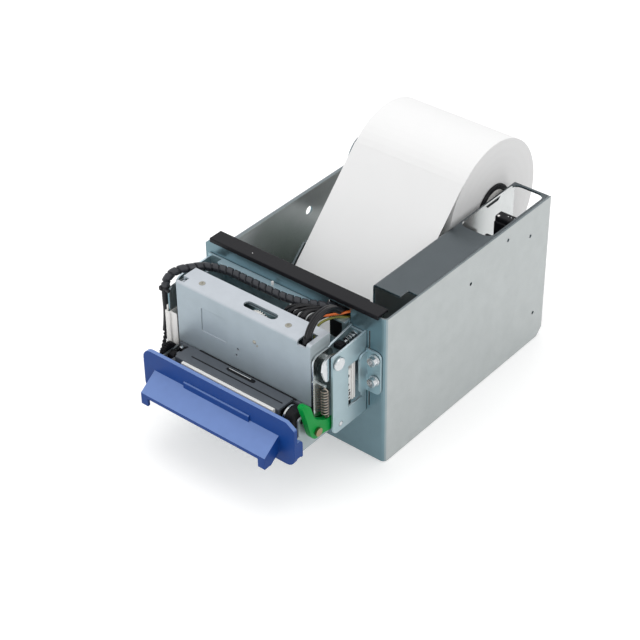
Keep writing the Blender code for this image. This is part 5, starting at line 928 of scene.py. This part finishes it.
class PRINTER_OT_stage(Operator):
    """Set the floor, the soft lamps, the room and the camera"""

    bl_idname = "printer.stage"
    bl_label = "Studio"

    def execute(self, context):
        studio = context.scene.printer_studio
        self.make_floor()
        self.make_room(context, studio.sky)
        aim = at(66, 50, 50)
        for name, power, size, place in (
                ("overhead_softbox", studio.overhead, 1.3, (-0.25, 0.25, 1.35)),
                ("front_softbox", studio.key, 0.9, (-0.75, -1.0, 0.9)),
                ("side_softbox", studio.side, 0.8, (1.2, 0.1, 0.8))):
            lamp = bpy.data.lights.new(name, "AREA")
            lamp.energy, lamp.size = power, size
            holder = bpy.data.objects.new(name, lamp)
            # Metal mirrors the white room; only the side lamp adds a glint of its own.
            holder.visible_glossy = name == "side_softbox"
            holder.location = place
            holder.rotation_euler = (aim - Vector(place)).to_track_quat("-Z", "Y").to_euler()
            context.scene.collection.objects.link(holder)
        camera = bpy.data.cameras.new("photo_camera")
        camera.lens, camera.sensor_width, camera.clip_start = studio.lens, 36.0, 0.01
        stand = bpy.data.objects.new("photo_camera", camera)
        stand.matrix_world = Matrix.Translation(at(*CAMERA_PLACE)) @ Matrix(CAMERA_AXES).transposed().to_4x4()
        context.scene.collection.objects.link(stand)
        context.scene.camera = stand
        context.scene.view_settings.view_transform = "Standard"
        return {"FINISHED"}

    def make_floor(self):
        """A wide pale floor that keeps the object's shadow and looks white where none falls."""
        bm = bmesh.new()
        bmesh.ops.create_grid(bm, x_segments=8, y_segments=8, size=3.0)
        mesh = bpy.data.meshes.new("floor")
        bm.to_mesh(mesh)
        bm.free()
        floor = bpy.data.objects.new("floor", mesh)
        floor.location.z = -0.0004
        bpy.context.scene.collection.objects.link(floor)
        material = bpy.data.materials.new("painted_floor")
        material.use_nodes = True
        tree = material.node_tree
        tree.nodes.clear()
        paint = add(tree, "ShaderNodeBsdfDiffuse", inputs={"Color": FLOOR_GREY})
        rays = add(tree, "ShaderNodeLightPath")
        seen = add(tree, "ShaderNodeMath", {"operation": "MAXIMUM"}, {
            0: rays.outputs["Is Camera Ray"], 1: rays.outputs["Is Glossy Ray"]})
        lift = add(tree, "ShaderNodeMath", {"operation": "MULTIPLY"}, {0: seen.outputs[0], 1: FLOOR_GLOW})
        glow = add(tree, "ShaderNodeEmission", inputs={"Strength": lift.outputs[0]})
        both = add(tree, "ShaderNodeAddShader", inputs={0: paint.outputs[0], 1: glow.outputs[0]})
        add(tree, "ShaderNodeOutputMaterial", inputs={"Surface": both.outputs[0]})
        mesh.materials.append(material)

    def make_room(self, context, sky):
        """Even room light, which camera, metal and glass see as plain white."""
        world = bpy.data.worlds.new("studio_room")
        world.use_nodes = True
        tree = world.node_tree
        tree.nodes.clear()
        rays = add(tree, "ShaderNodeLightPath")
        shiny = add(tree, "ShaderNodeMath", {"operation": "MAXIMUM"}, {
            0: rays.outputs["Is Glossy Ray"], 1: rays.outputs["Is Transmission Ray"]})
        seen = add(tree, "ShaderNodeMath", {"operation": "MAXIMUM"}, {
            0: rays.outputs["Is Camera Ray"], 1: shiny.outputs[0]})
        strength = add(tree, "ShaderNodeMapRange", inputs={
            "Value": seen.outputs[0], "To Min": sky, "To Max": 1.0})
        light = add(tree, "ShaderNodeBackground", inputs={
            "Color": (1, 1, 1, 1), "Strength": strength.outputs[0]})
        add(tree, "ShaderNodeOutputWorld", inputs={"Surface": light.outputs[0]})
        context.scene.world = world


# Panel and registration.

PIECE_OPERATORS = (
    PRINTER_OT_finishes,
    PRINTER_OT_spiral_wrap,
    PRINTER_OT_right_branch,
    PRINTER_OT_fan_wires,
    PRINTER_OT_left_lead,
    PRINTER_OT_release_lever,
    PRINTER_OT_release_spring,
    PRINTER_OT_arm_guard,
    PRINTER_OT_paper_switch,
    PRINTER_OT_circuit_board,
    PRINTER_OT_sensor_fittings,
    PRINTER_OT_fasteners,
    PRINTER_OT_bracket_fittings,
    PRINTER_OT_left_mechanism,
    PRINTER_OT_housing_seals,
    PRINTER_OT_stage,
)


class PRINTER_PT_looks(Panel):
    """The printer's pieces and settings"""

    bl_label = "Ticket printer"
    bl_space_type = "VIEW_3D"
    bl_region_type = "UI"
    bl_category = "Ticket printer"

    def draw(self, context):
        for operator in PIECE_OPERATORS:
            self.layout.operator(operator.bl_idname)
        scene = context.scene
        for group in (scene.printer_colours, scene.printer_harness, scene.printer_studio):
            box = self.layout.box()
            for name in group.bl_rna.properties.keys():
                if name not in {"rna_type", "name"}:
                    box.prop(group, name)


CLASSES = (PrinterColours, HarnessSizes, StudioSettings, *PIECE_OPERATORS, PRINTER_PT_looks)


def register():
    for cls in CLASSES:
        bpy.utils.register_class(cls)
    bpy.types.Scene.printer_colours = PointerProperty(type=PrinterColours)
    bpy.types.Scene.printer_harness = PointerProperty(type=HarnessSizes)
    bpy.types.Scene.printer_studio = PointerProperty(type=StudioSettings)


def unregister():
    del bpy.types.Scene.printer_studio
    del bpy.types.Scene.printer_harness
    del bpy.types.Scene.printer_colours
    for cls in reversed(CLASSES):
        bpy.utils.unregister_class(cls)


def main():
    register()
    for operator in PIECE_OPERATORS:
        group, name = operator.bl_idname.split(".")
        getattr(getattr(bpy.ops, group), name)()


if __name__ == "__main__":
    main()
